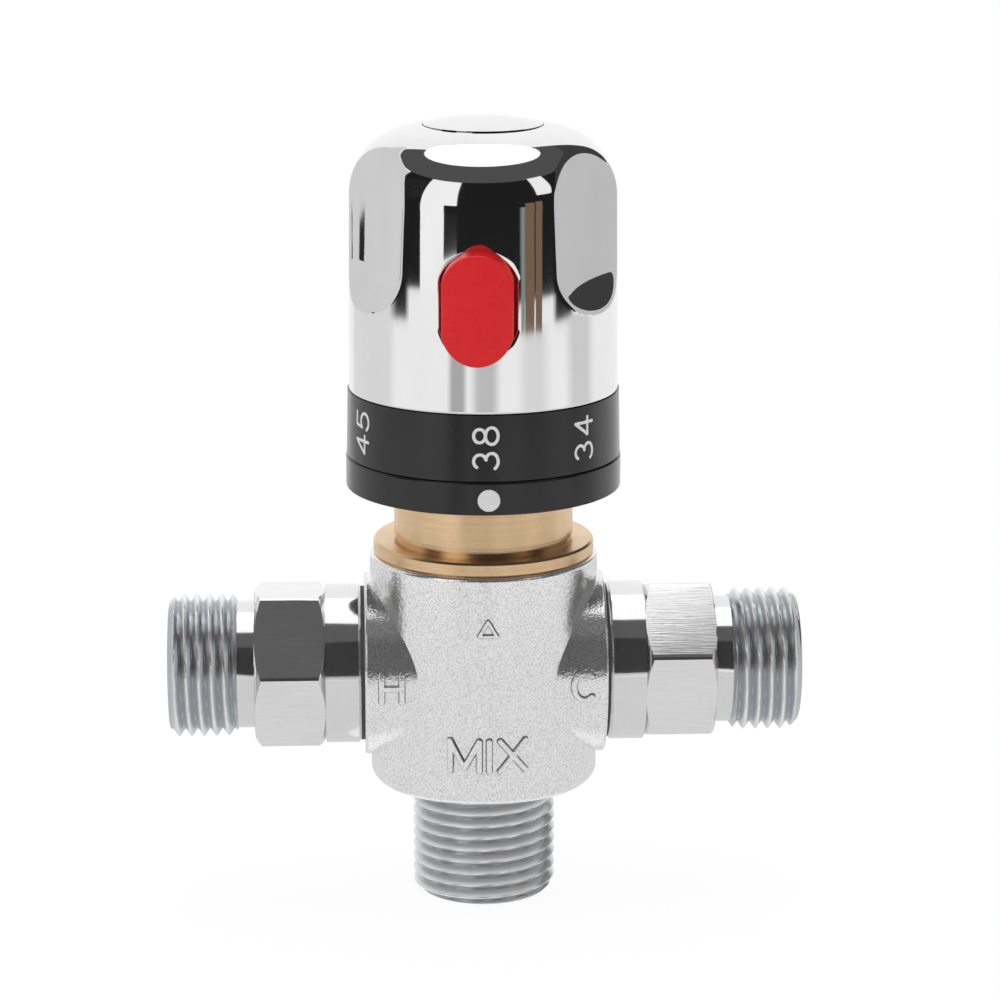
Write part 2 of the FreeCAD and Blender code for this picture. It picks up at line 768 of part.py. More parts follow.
def cartridge_sleeve():
    """Moulded sleeve with hot ports low, cold ports high, the hot seat and two seal grooves."""
    body = new_body("cartridge_sleeve")
    outer = "sleeve_bore_radius - fit"
    middle = "(hot_chamber_top + cold_chamber_bottom) / 2"
    half = "cage_groove_width / 2"
    wall = outline(body, "sleeve_profile", [
        ("sleeve_outlet_radius", "sleeve_seat"),
        (outer, "sleeve_seat"),
        (outer, "lower_groove - " + half),
        ("sleeve_groove_root", "lower_groove - " + half),
        ("sleeve_groove_root", "lower_groove + " + half),
        (outer, "lower_groove + " + half),
        (outer, middle + " - " + half),
        ("sleeve_groove_root", middle + " - " + half),
        ("sleeve_groove_root", middle + " + " + half),
        (outer, middle + " + " + half),
        (outer, "sleeve_top"),
        ("sleeve_wall_bore", "sleeve_top"),
        ("sleeve_wall_bore", "hot_seat"),
        ("sleeve_lip_radius", "hot_seat"),
        ("sleeve_lip_radius", "sleeve_seat + sleeve_floor"),
        ("sleeve_outlet_radius", "sleeve_seat + sleeve_floor"),
    ])
    turn(body, wall)
    cuts = []
    for name, low, high in (
        ("hot", "hot_seat", "hot_port_top"),
        ("cold", "cold_port_bottom", "cold_port_top"),
    ):
        port = box_outline(
            body, name + "_sleeve_port", ("-sleeve_port_width / 2", low),
            ("sleeve_port_width / 2", high))
        cuts.append(cut_pocket(body, port, "sleeve_bore_radius + 1"))
    repeat_round(body, cuts, "sleeve_port_count")


def upper_seat_ring():
    """Ring clamped under the bonnet, whose skirt is the cold seat."""
    turned_piece("upper_seat_ring", [
        ("seat_ring_bore", "sleeve_top - seat_ring_skirt"),
        ("sleeve_wall_bore - fit", "sleeve_top - seat_ring_skirt"),
        ("sleeve_wall_bore - fit", "sleeve_top"),
        ("sleeve_bore_radius - fit", "sleeve_top"),
        ("sleeve_bore_radius - fit", "bonnet_bottom"),
        ("seat_ring_bore", "bonnet_bottom"),
    ])


def shuttle():
    """Piston that closes the hot seat as it falls and the cold seat as it rises."""
    body = new_body("shuttle")
    outer = "sleeve_wall_bore - fit"
    middle = "(hot_chamber_top + cold_chamber_bottom) / 2"
    half = "(shuttle_ring_section + fit)"
    wall = outline(body, "shuttle_profile", [
        ("element_bulb_radius + fit", "shuttle_web_bottom"),
        ("shuttle_bore", "shuttle_web_bottom"),
        ("shuttle_bore", "shuttle_bottom"),
        (outer, "shuttle_bottom"),
        (outer, middle + " - " + half),
        ("shuttle_groove_root", middle + " - " + half),
        ("shuttle_groove_root", middle + " + " + half),
        (outer, middle + " + " + half),
        (outer, "shuttle_top"),
        ("shuttle_bore", "shuttle_top"),
        ("shuttle_bore", "shuttle_web_bottom + shuttle_web"),
        ("element_bulb_radius + fit", "shuttle_web_bottom + shuttle_web"),
    ])
    turn(body, wall)
    hole = round_outline(
        body, "shuttle_hole", "shuttle_hole_radius", ("shuttle_hole_circle", "0"),
        "XY_Plane", "shuttle_web_bottom - 1")
    cut = cut_pocket(body, hole, "shuttle_web + 2", backwards=True)
    repeat_round(body, [cut], "shuttle_hole_count")
    seal_ring(
        "shuttle_oring", "sleeve_wall_bore - shuttle_ring_section - fit / 2",
        "shuttle_ring_section", middle)


def wax_element():
    """Sealed brass capsule whose wax pushes the pin out as the mixed water warms."""
    seat = "(shuttle_web_bottom + shuttle_web)"
    guide_top = seat + " + element_flange + element_guide_length"
    turned_piece("wax_element", [
        ("0", "element_bulb_bottom"),
        ("element_bulb_radius", "element_bulb_bottom"),
        ("element_bulb_radius", seat),
        ("element_flange_radius", seat),
        ("element_flange_radius", seat + " + element_flange"),
        ("element_guide_radius", seat + " + element_flange"),
        ("element_guide_radius", guide_top),
        ("pin_radius + fit", guide_top),
        ("pin_radius + fit", "pin_bottom - fit"),
        ("0", "pin_bottom - fit"),
    ])
    turned_piece("element_pin", [
        ("0", "pin_bottom"),
        ("pin_radius", "pin_bottom"),
        ("pin_radius", "pin_top"),
        ("0", "pin_top"),
    ])
    coil_spring(
        "return_spring", "return_spring_radius", "return_spring_wire", "return_spring_turns",
        "sleeve_seat + sleeve_floor", "shuttle_web_bottom")


def spring_cup():
    """Hat that the element's pin bears on, held down by the overtravel spring."""
    turned_piece("spring_cup", [
        ("pin_radius + fit", "cup_bottom"),
        ("cup_flange_radius", "cup_bottom"),
        ("cup_flange_radius", "cup_bottom + cup_flange"),
        ("cup_tube_radius", "cup_bottom + cup_flange"),
        ("cup_tube_radius", "cup_top"),
        ("0", "cup_top"),
        ("0", "pin_top"),
        ("pin_radius + fit", "pin_top"),
    ])
    coil_spring(
        "overtravel_spring", "overtravel_spring_radius", "overtravel_spring_wire",
        "overtravel_spring_turns", "cup_bottom + cup_flange", "nut_chamber_top")


def regulating_nut():
    """Hexagonal nut that slides in the bonnet as the spindle turns in its left-hand thread."""
    body = new_body("regulating_nut")
    corner = "nut_across_flats / 2 / cos(30) + 1"
    clip_bottom = "cup_bottom - clip_thickness"
    groove = "nut_chamber_radius + clip_groove_depth"
    blank = outline(body, "nut_blank", [
        ("nut_chamber_radius", "nut_bottom"),
        (corner, "nut_bottom"),
        (corner, "nut_top"),
        ("spindle_thread_radius + fit", "nut_top"),
        ("spindle_thread_radius + fit", "nut_chamber_top"),
        ("nut_chamber_radius", "nut_chamber_top"),
        ("nut_chamber_radius", "cup_bottom"),
        (groove, "cup_bottom"),
        (groove, clip_bottom),
        ("nut_chamber_radius", clip_bottom),
    ])
    turn(body, blank)
    flat = box_outline(
        body, "nut_flat", ("nut_across_flats / 2", "nut_bottom - 1"),
        (corner + " + 1", "nut_top + 1"))
    cut = cut_pocket(body, flat, "2 * nut_across_flats", both_ways=True)
    repeat_round(body, [cut], "6")


def split_clip(name, inner, outer, bottom, thickness, knob=False):
    """Spring-steel retaining clip: a flat ring with a gap."""
    body = new_body(name)
    ring = outline(body, name + "_profile", [
        (inner, bottom),
        (outer, bottom),
        (outer, bottom + " + " + thickness),
        (inner, bottom + " + " + thickness),
    ])
    turn(body, ring)
    gap = box_outline(
        body, name + "_gap", ("-clip_width", bottom + " - 1"),
        ("clip_width", bottom + " + " + thickness + " + 1"))
    cut_pocket(body, gap, outer + " + 1")
    if knob:
        set_on_knob(body)


# Bonnet, spindle and rings

def bonnet():
    """Turned brass bonnet: body thread, wide flange, plain collar and keyed neck."""
    body = new_body("bonnet")
    flange_top = "barrel_top + flange_thickness"
    shape = outline(body, "bonnet_profile", [
        ("spindle_radius + fit", "bonnet_bottom"),
        ("body_thread_radius - fit", "bonnet_bottom"),
        ("body_thread_radius - fit", "barrel_top - seal_recess_depth"),
        ("body_thread_radius - clearance", "barrel_top - seal_recess_depth"),
        ("body_thread_radius - clearance", "barrel_top"),
        ("flange_radius", "barrel_top"),
        ("flange_radius", flange_top),
        ("collar_radius - collar_groove_depth", flange_top),
        ("collar_radius - collar_groove_depth", flange_top + " + collar_groove_width"),
        ("collar_radius", flange_top + " + collar_groove_width"),
        ("collar_radius", "collar_top"),
        ("bonnet_neck_radius", "collar_top"),
        ("bonnet_neck_radius", "bonnet_neck_top"),
        ("spindle_radius + fit", "bonnet_neck_top"),
    ])
    last = turn(body, shape)
    rims = edges_where(last, is_circle(value("flange_radius"), value(flange_top)))
    rims += edges_where(last, is_circle(value("flange_radius"), value("barrel_top")))
    dress(body, last, "Chamfer", rims, "fit * 6")
    hexagon = outline(
        body, "bonnet_hexagon", hexagon_points("(nut_across_flats / 2 + fit)"), "XY_Plane",
        "bonnet_bottom")
    cut_pocket(body, hexagon, "bonnet_hex_top - bonnet_bottom", backwards=True)
    slot = box_outline(
        body, "bonnet_keyway",
        ("-key_width / 2 - fit", "bonnet_neck_radius - key_depth - fit"),
        ("key_width / 2 + fit", "bonnet_neck_radius + 1"), "XY_Plane", "collar_top")
    cut_pocket(body, slot, "key_length", backwards=True)


def index_ring():
    """Fixed black ring keyed on the bonnet's neck, with the end stop and the button's stop lug."""
    body = new_body("index_ring")
    shape = outline(body, "index_profile", [
        ("bonnet_neck_radius + fit", "collar_top"),
        ("ring_radius - ring_wall", "collar_top"),
        ("ring_radius - ring_wall", "ring_bottom"),
        ("ring_radius", "ring_bottom"),
        ("ring_radius", "ring_top"),
        ("bonnet_neck_radius + fit", "ring_top"),
    ])
    last = turn(body, shape)
    rims = edges_where(last, is_circle(value("ring_radius"), value("ring_bottom")))
    rims += edges_where(last, is_circle(value("ring_radius"), value("ring_top")))
    dress(body, last, "Fillet", rims, "ring_round")
    key = box_outline(
        body, "index_key", ("-key_width / 2", "bonnet_neck_radius - key_depth"),
        ("key_width / 2", "bonnet_neck_radius + 1"), "XY_Plane", "collar_top")
    raise_pad(body, key, "ring_top - collar_top")
    arc_block(body, "end_stop", "stop_inner_radius", "stop_outer_radius", "stop_half_angle",
              "rib_azimuth + knob_turn + stop_offset", "ring_top - 0.5", "stop_top")
    arc_block(body, "stop_lug", "lug_inner_radius", "lug_outer_radius", "lug_half_angle",
              "lug_azimuth", "ring_top - 0.5", "stop_top")


def spindle():
    """Brass spindle: left-hand thread, thrust flange, two seal grooves, clip groove and splines."""
    body = new_body("spindle")
    flange_top = "bonnet_hex_top - thrust_gap"
    half = "spindle_groove_width / 2"
    clip_low = "bonnet_neck_top + 2 * thrust_gap"
    clip_high = clip_low + " + clip_thickness + fit"
    shape = outline(body, "spindle_profile", [
        ("0", "spindle_bottom"),
        ("spindle_thread_radius", "spindle_bottom"),
        ("spindle_thread_radius", flange_top + " - spindle_flange"),
        ("spindle_flange_radius", flange_top + " - spindle_flange"),
        ("spindle_flange_radius", flange_top),
        ("spindle_radius", flange_top),
        ("spindle_radius", "spindle_lower_groove - " + half),
        ("spindle_groove_root", "spindle_lower_groove - " + half),
        ("spindle_groove_root", "spindle_lower_groove + " + half),
        ("spindle_radius", "spindle_lower_groove + " + half),
        ("spindle_radius", "spindle_upper_groove - " + half),
        ("spindle_groove_root", "spindle_upper_groove - " + half),
        ("spindle_groove_root", "spindle_upper_groove + " + half),
        ("spindle_radius", "spindle_upper_groove + " + half),
        ("spindle_radius", clip_low),
        ("spindle_radius - clip_groove_depth", clip_low),
        ("spindle_radius - clip_groove_depth", clip_high),
        ("spline_radius", clip_high),
        ("spline_radius", "spindle_top"),
        ("screw_radius + fit", "spindle_top"),
        ("screw_radius + fit", "spindle_top - screw_hole_depth"),
        ("0", "spindle_top - screw_hole_depth"),
    ])
    turn(body, shape)
    groove = box_outline(
        body, "spline_groove", ("-spline_width / 2", "spline_radius - spline_depth"),
        ("spline_width / 2", "spline_radius + 1"), "XY_Plane", "spline_bottom")
    cut = cut_pocket(body, groove, "spindle_top - spline_bottom + 1", backwards=True)
    repeat_round(body, [cut], "spline_count")
    set_on_knob(body)
    for name, height in (("lower", "spindle_lower_groove"), ("upper", "spindle_upper_groove")):
        seal_ring(
            "spindle_%s_oring" % name, "spindle_radius + fit / 2 - spindle_ring_section",
            "spindle_ring_section", height)
    split_clip(
        "spindle_clip", "spindle_radius - clip_groove_depth", "spindle_radius + clip_width",
        clip_low, "clip_thickness", knob=True)


# Knob

def dial_ring():
    """Black ring that carries the numbers: a thin wall, a shelf and a spigot inside the knob."""
    ring = turned_piece("dial_ring", [
        ("dial_lower_radius - dial_wall", "ring_top + dial_gap"),
        ("dial_lower_radius", "ring_top + dial_gap"),
        ("dial_upper_radius", "knob_bottom"),
        ("knob_lower_cavity - fit", "knob_bottom"),
        ("knob_lower_cavity - fit", "knob_bottom + dial_spigot_length"),
        ("dial_spigot_bore", "knob_bottom + dial_spigot_length"),
        ("dial_spigot_bore", "knob_bottom - dial_shelf"),
        ("dial_upper_radius - dial_wall", "knob_bottom - dial_shelf"),
    ])
    set_on_knob(ring)


def oval_outline(body, name, margin, offset):
    """The button's outline grown by a margin: two straight sides and two arcs for the ends."""
    sketch = new_sketch(body, name, "XZ_Plane", offset)
    half = "(button_half_width + %s)" % margin
    end_radius = "(button_end_radius + %s)" % margin
    low = "(button_middle - button_half_straight)"
    high = "(button_middle + button_half_straight)"
    x, z0, z1, r = value(half), value(low), value(high), value(end_radius)
    rise = math.sqrt(r * r - x * x)
    points = [FreeCAD.Vector(*p, 0) for p in ((x, z0), (x, z1), (-x, z1), (-x, z0))]
    crown = FreeCAD.Vector(0, z1 - rise + r, 0)
    foot = FreeCAD.Vector(0, z0 + rise - r, 0)
    sketch.addGeometry(Part.LineSegment(points[0], points[1]))
    sketch.addGeometry(Part.Arc(points[1], crown, points[2]))
    sketch.addGeometry(Part.LineSegment(points[2], points[3]))
    sketch.addGeometry(Part.Arc(points[3], foot, points[0]))
    sketch.addConstraint(Sketcher.Constraint("Coincident", 0, 2, 1, 1))
    sketch.addConstraint(Sketcher.Constraint("Coincident", 1, 2, 2, 1))
    sketch.addConstraint(Sketcher.Constraint("Coincident", 2, 2, 3, 1))
    sketch.addConstraint(Sketcher.Constraint("Coincident", 3, 2, 0, 1))
    hold(sketch, "DistanceX", (0, 1), half)
    hold(sketch, "DistanceY", (0, 1), low)
    hold(sketch, "DistanceX", (0, 2), half)
    hold(sketch, "DistanceY", (0, 2), high)
    hold(sketch, "DistanceX", (2, 1), "-" + half)
    hold(sketch, "DistanceY", (2, 1), high)
    hold(sketch, "DistanceX", (2, 2), "-" + half)
    hold(sketch, "DistanceY", (2, 2), low)
    hold(sketch, "Radius", 1, end_radius)
    hold(sketch, "Radius", 3, end_radius)
    return sketch


BUTTON_HALF_HEIGHT = (
    "(button_half_straight + button_end_radius"
    " - sqrt(button_end_radius * button_end_radius - button_half_width * button_half_width))")


def knob_shell():
    """Chromed cover: tapered wall, wide shoulder, three finger grips, button window, cap recess."""
    body = new_body("knob_shell")
    shape = outline(body, "knob_profile", [
        ("knob_lower_cavity", "knob_bottom"),
        ("knob_lower_radius", "knob_bottom"),
        ("knob_upper_radius", "knob_top"),
        ("cap_recess_radius", "knob_top"),
        ("cap_recess_radius", "cap_recess_floor"),
        ("screw_radius + clearance", "cap_recess_floor"),
        ("screw_radius + clearance", "knob_cavity_top"),
        ("knob_upper_cavity", "knob_cavity_top"),
        ("knob_upper_cavity", "knob_cavity_step"),
        ("knob_lower_cavity", "knob_cavity_step"),
    ])
    last = turn(body, shape)
    shoulder = edges_where(last, is_circle(value("knob_upper_radius"), value("knob_top")))
    last = dress(body, last, "Fillet", shoulder, "knob_shoulder")
    grips(body)
    window = oval_outline(body, "button_window", "button_gap", "0")
    cut_pocket(body, window, "knob_lower_radius + 1", backwards=True)
    half_width = "(button_half_width + button_flange_margin + button_gap)"
    half_height = "(%s + button_flange_margin + button_gap)" % BUTTON_HALF_HEIGHT
    recess = box_outline(
        body, "button_recess", ("-" + half_width, "button_middle - " + half_height),
        (half_width, "button_middle + " + half_height))
    cut_pocket(body, recess, "button_pocket", backwards=True)
    set_on_knob(body)


def grips(body):
    """Three shallow finger grips: grooves turned about vertical axes outside the knob."""
    sketch = new_sketch(body, "grip_section", "YZ_Plane")
    outer = "(knob_lower_radius + 3)"
    blend_end = "(grip_bottom + grip_blend)"
    top = "(knob_top + 2)"
    axis_at = "(grip_floor_bottom + grip_curve)"
    floor_low = FreeCAD.Vector(value("grip_floor_bottom"), value(blend_end), 0)
    floor_high = FreeCAD.Vector(value("grip_floor_top"), value(top), 0)
    outer_high = FreeCAD.Vector(value(outer), value(top), 0)
    blend_foot = FreeCAD.Vector(value("grip_floor_bottom + grip_blend"), value("grip_bottom"), 0)
    outer_low = FreeCAD.Vector(value(outer), value("grip_bottom"), 0)
    reach = value("grip_blend")
    middle = FreeCAD.Vector(
        floor_low.x + reach * (1 - math.cos(math.pi / 4)),
        floor_low.y - reach * math.sin(math.pi / 4), 0)
    sketch.addGeometry(Part.Arc(floor_low, middle, blend_foot))
    sketch.addGeometry(Part.LineSegment(blend_foot, outer_low))
    sketch.addGeometry(Part.LineSegment(outer_low, outer_high))
    sketch.addGeometry(Part.LineSegment(outer_high, floor_high))
    sketch.addGeometry(Part.LineSegment(floor_high, floor_low))
    for i in range(5):
        sketch.addConstraint(Sketcher.Constraint("Coincident", i, 2, (i + 1) % 5, 1))
    place_corner(sketch, 0, "grip_floor_bottom", blend_end)
    place_corner(sketch, 1, "grip_floor_bottom + grip_blend", "grip_bottom")
    place_corner(sketch, 2, outer, "grip_bottom")
    place_corner(sketch, 3, outer, top)
    place_corner(sketch, 4, "grip_floor_top", top)
    hold(sketch, "Radius", 0, "grip_blend")
    axis_start = FreeCAD.Vector(value(axis_at), 0, 0)
    axis_end = FreeCAD.Vector(value(axis_at), value("grip_bottom"), 0)
    line = sketch.addGeometry(Part.LineSegment(axis_start, axis_end), True)
    sketch.addConstraint(Sketcher.Constraint("Vertical", line))
    place_corner(sketch, line, axis_at, "0")
    hold(sketch, "DistanceY", (line, 2), "grip_bottom")
    groove = turn(body, sketch, "PartDesign::Groove", "Axis0")
    cut = repeat_round(body, [groove], "grip_count")
    doc.recompute()
    rims = edges_where(cut, is_grip_rim(cut))
    dress(body, cut, "Fillet", rims, "grip_rim_round")


def is_grip_rim(cut):
    """A test for the edges where a grip meets the knob's outside."""
    wall = value("knob_lower_radius") - value("knob_upper_radius")
    slope = wall / (value("knob_top") - value("knob_bottom"))

    def test(edge):
        low, high = edge.ParameterRange
        spots = [edge.valueAt(low + (high - low) * part) for part in (0.25, 0.5, 0.75)]
        for spot in spots:
            if spot.z < value("grip_bottom") - 1 or spot.z > value("knob_top") - 0.5:
                return False
            reach = math.hypot(spot.x, spot.y)
            surface = value("knob_lower_radius") - slope * (spot.z - value("knob_bottom"))
            rise = spot.z - (value("knob_top") - value("knob_shoulder"))
            if rise > 0:
                across = math.sqrt(max(value("knob_shoulder") ** 2 - rise ** 2, 0))
                surface = value("knob_upper_radius") - value("knob_shoulder") + across
            if abs(reach - surface) > 0.12:
                return False
        turned = isinstance(edge.Curve, Part.Circle) and abs(edge.Curve.Center.x) < 1e-6
        return not (turned and abs(edge.Curve.Center.y) < 1e-6)
    return test


def knob_hub():
    """Moulded hub inside the knob: disc, splined tube, three fins, end-stop rib, spring peg."""
    body = new_body("knob_hub")
    bottom = "knob_bottom + dial_spigot_length"
    bore = "spline_radius + fit"
    shape = outline(body, "hub_profile", [
        (bore, bottom),
        ("knob_lower_cavity - fit", bottom),
        ("knob_lower_cavity - fit", bottom + " + hub_disc_thickness"),
        ("hub_tube_radius", bottom + " + hub_disc_thickness"),
        ("hub_tube_radius", "knob_cavity_top"),
        ("screw_radius + clearance", "knob_cavity_top"),
        ("screw_radius + clearance", "spindle_top + clearance"),
        (bore, "spindle_top + clearance"),
    ])
    turn(body, shape)
    fin = box_outline(
        body, "hub_fin", ("hub_tube_radius - 1", bottom + " + hub_disc_thickness"),
        ("knob_upper_cavity - fit", "hub_fin_top"), "YZ_Plane")
    pad = raise_pad(body, fin, "hub_fin_width", both_ways=True)
    repeat_round(body, [pad], "grip_count")
    tooth = box_outline(
        body, "hub_tooth",
        ("-spline_width / 2 + fit", "spline_radius - spline_depth + fit"),
        ("spline_width / 2 - fit", "spline_radius + 1"), "XY_Plane", "spline_bottom")
    tooth_pad = raise_pad(body, tooth, "spindle_top - spline_bottom")
    repeat_round(body, [tooth_pad], "spline_count")
    slot = box_outline(
        body, "tongue_slot",
        ("-tongue_half_width - 2 * button_gap", "-knob_lower_cavity - 1"),
        ("tongue_half_width + 2 * button_gap", "-hub_tube_radius"), "XY_Plane",
        bottom + " - 1")
    cut_pocket(body, slot, "hub_disc_thickness + 2", backwards=True)
    arc_block(body, "stop_rib", "stop_inner_radius", "stop_outer_radius", "rib_half_angle",
              "rib_azimuth", "ring_top + dial_gap", bottom + " + hub_disc_thickness / 2")
    peg = round_outline(
        body, "hub_peg", "button_peg_radius", ("0", "button_middle"), "XZ_Plane",
        "hub_tube_radius - 1")
    raise_pad(body, peg, "1 + button_peg_length")
    set_on_knob(body)


def knob_screw():
    """Pan-head screw with a hexagon socket that holds the knob on the spindle."""
    body = new_body("knob_screw")
    head_top = "cap_recess_floor + screw_head_height"
    shape = outline(body, "screw_profile", [
        ("0", "screw_bottom"),
        ("screw_radius", "screw_bottom"),
        ("screw_radius", "cap_recess_floor"),
        ("screw_head_radius", "cap_recess_floor"),
        ("screw_head_radius", head_top),
        ("0", head_top),
    ])
    turn(body, shape)
    socket = outline(
        body, "screw_socket_outline", hexagon_points("(screw_socket / 2)"), "XY_Plane", head_top)
    cut_pocket(body, socket, "screw_socket_depth")
    set_on_knob(body)


def knob_cap():
    """Round chromed cap with a low crown, pressed into the knob's top over the screw."""
    body = new_body("knob_cap")
    sketch = new_sketch(body, "cap_profile")
    edge, crown, inner = value("cap_edge"), value("cap_crown"), value("cap_ceiling")
    radius, floor = value("cap_radius"), value("cap_recess_floor")
    bore = value("cap_radius - cap_wall")
    points = [FreeCAD.Vector(x, y, 0) for x, y in (
        (0, inner), (bore, inner), (bore, floor), (radius, floor), (radius, edge))]
    for start, end in zip(points, points[1:]):
        sketch.addGeometry(Part.LineSegment(start, end))
    curve = (radius * radius + crown * crown) / 2 / crown
    part_way = radius / 2
    rise = math.sqrt(curve * curve - part_way * part_way) - (curve - crown)
    top = FreeCAD.Vector(0, edge + crown, 0)
    sketch.addGeometry(Part.Arc(points[-1], FreeCAD.Vector(part_way, edge + rise, 0), top))
    sketch.addGeometry(Part.LineSegment(top, points[0]))
    for i in range(6):
        sketch.addConstraint(Sketcher.Constraint("Coincident", i, 2, (i + 1) % 6, 1))
    place_corner(sketch, 0, "0", "cap_ceiling")
    place_corner(sketch, 1, "cap_radius - cap_wall", "cap_ceiling")
    place_corner(sketch, 2, "cap_radius - cap_wall", "cap_recess_floor")
    place_corner(sketch, 3, "cap_radius", "cap_recess_floor")
    place_corner(sketch, 4, "cap_radius", "cap_edge")
    place_corner(sketch, 5, "0", "cap_edge + cap_crown")
    hold(sketch, "Radius", 4, "(cap_radius * cap_radius + cap_crown * cap_crown) / 2 / cap_crown")
    turn(body, sketch)
    set_on_knob(body)


def push_button():
    """Red safety button: crowned oval face, flange behind the window, tongue down to the lug."""
    body = new_body("push_button")
    face = oval_outline(body, "button_outline", "0", "button_back")
    last = raise_pad(body, face, "button_face - button_back + 1")
    half_width = "(button_half_width + button_flange_margin)"
    half_height = "(%s + button_flange_margin)" % BUTTON_HALF_HEIGHT
    flange = box_outline(
        body, "button_flange_outline", ("-" + half_width, "button_middle - " + half_height),
        (half_width, "button_middle + " + half_height), "XZ_Plane", "button_back")
    raise_pad(body, flange, "button_flange")
    tongue = box_outline(
        body, "button_tongue", ("-tongue_half_width", "stop_top + stop_clearance"),
        ("tongue_half_width", "button_middle - button_half_straight"), "XZ_Plane", "tongue_inner")
    raise_pad(body, tongue, "tongue_outer - tongue_inner")
    peg = round_outline(
        body, "button_peg", "button_peg_radius", ("0", "button_middle"), "XZ_Plane",
        "button_back - button_peg_length")
    last = raise_pad(body, peg, "button_peg_length + 0.5")
    crown = box_outline(
        body, "button_crown", ("button_face", "button_middle - 2 * button_end_radius"),
        ("button_face + 6", "button_middle + 2 * button_end_radius"))
    last = turn(body, crown, "PartDesign::Groove")
    face_edges = edges_where(last, is_button_rim)
    dress(body, last, "Fillet", face_edges, "button_edge_round")
    set_on_knob(body)


def is_button_rim(edge):
    """A test for the edges round the button's outer face."""
    low, high = edge.ParameterRange
    spots = [edge.valueAt(low + (high - low) * part) for part in (0.2, 0.5, 0.8)]
    return all(abs(math.hypot(s.x, s.y) - value("button_face")) < 1e-3 for s in spots)


def button_spring():
    """Small spring between the hub and the back of the button."""
    spring = coil_spring(
        "button_spring", "button_spring_radius", "button_spring_wire", "button_spring_turns",
        "hub_tube_radius", "button_back")
    tilt = FreeCAD.Rotation(FreeCAD.Vector(1, 0, 0), 90)
    turned = FreeCAD.Rotation(FreeCAD.Vector(0, 0, 1), value("knob_turn"))
    spring.Placement.Rotation = turned.multiply(tilt)
    spring.setExpression("Placement.Base.z", bound("button_middle"))


valve_body()
for side_name, side_sign in (("hot", -1), ("cold", 1)):
    inlet_adapter(side_name, side_sign, side_name + "_hex_turn")
    adapter_gasket(side_name, side_sign)
    strainer(side_name, side_sign)
    check_cage(side_name, side_sign)
    check_ring(side_name, side_sign)
    check_poppet(side_name, side_sign)
cartridge_sleeve()
GROOVE_MIDDLE = "(hot_chamber_top + cold_chamber_bottom) / 2"
RING_CENTRE = "sleeve_bore_radius - small_ring_section - fit / 2"
seal_ring("sleeve_middle_oring", RING_CENTRE, "small_ring_section", GROOVE_MIDDLE)
seal_ring("sleeve_lower_oring", RING_CENTRE, "small_ring_section", "lower_groove")
upper_seat_ring()
shuttle()
wax_element()
spring_cup()
regulating_nut()
split_clip(
    "cup_clip", "nut_chamber_radius + clip_groove_depth - clip_width",
    "nut_chamber_radius + clip_groove_depth", "cup_bottom - clip_thickness", "clip_thickness")
bonnet()
seal_ring(
    "bonnet_oring", "seal_recess_radius - bonnet_ring_section - fit", "bonnet_ring_section",
    "barrel_top - seal_recess_depth / 2")
index_ring()
spindle()
dial_ring()
knob_hub()
knob_shell()
knob_screw()
knob_cap()
push_button()
button_spring()
doc.recompute()

for item in doc.Objects:
    if "Invalid" in item.State or "Error" in item.State:
        raise RuntimeError("%s failed: %s" % (item.Name, item.State))
for piece in SUB_PARTS:
    if piece.Shape.isNull() or not piece.Shape.isValid() or not piece.Shape.Solids:
        raise RuntimeError("%s has no valid solid" % piece.Label)

os.makedirs("parts", exist_ok=True)
for piece in SUB_PARTS:
    piece.Shape.exportStep(os.path.join("parts", piece.Label + ".step"))
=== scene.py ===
import math

import bmesh
import bpy
import numpy as np
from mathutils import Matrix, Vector


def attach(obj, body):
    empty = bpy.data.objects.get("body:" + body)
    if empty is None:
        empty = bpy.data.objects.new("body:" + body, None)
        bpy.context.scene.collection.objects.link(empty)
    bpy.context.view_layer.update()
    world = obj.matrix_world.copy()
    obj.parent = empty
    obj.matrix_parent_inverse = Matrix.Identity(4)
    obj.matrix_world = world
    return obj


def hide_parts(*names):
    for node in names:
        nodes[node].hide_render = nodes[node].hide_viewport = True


# Three-port mixing valve on a pale table: chromed casting, brass bonnet, black dial, chromed knob.
# Lengths are in metres in the frame of the solids: the outlet's end is at z = 0, the front is -Y.

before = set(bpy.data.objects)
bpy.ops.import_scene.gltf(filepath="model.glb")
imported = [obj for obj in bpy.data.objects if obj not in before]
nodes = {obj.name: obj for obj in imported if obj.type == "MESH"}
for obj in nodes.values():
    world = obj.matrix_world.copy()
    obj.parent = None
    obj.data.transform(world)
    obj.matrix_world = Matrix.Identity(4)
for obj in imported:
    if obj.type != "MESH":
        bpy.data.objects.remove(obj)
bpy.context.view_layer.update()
mm = 0.001


# ---------------------------------------------------------------------------------------------
# Camera
# It stands half a metre in front, a little to the left, and looks down at the knob's dial.

camera_data = bpy.data.cameras.new("camera")
camera_data.sensor_width = 36.0
camera_data.lens = 123.9
camera = bpy.data.objects.new("camera", camera_data)
camera.location = (-0.0192, -0.4856, 0.181)
camera_pitch = 14.1
camera_heading = 2.55
camera.rotation_euler = (math.radians(90 - camera_pitch), 0.0, math.radians(-camera_heading))
bpy.context.scene.collection.objects.link(camera)
bpy.context.scene.camera = camera
bpy.context.scene.view_settings.view_transform = "Standard"


# ---------------------------------------------------------------------------------------------
# Studio
# A white table, a plain white room and soft lamps. Polished chrome shows mostly what stands
# round it, so dark cards stand out of the camera's sight, where only reflections find them.

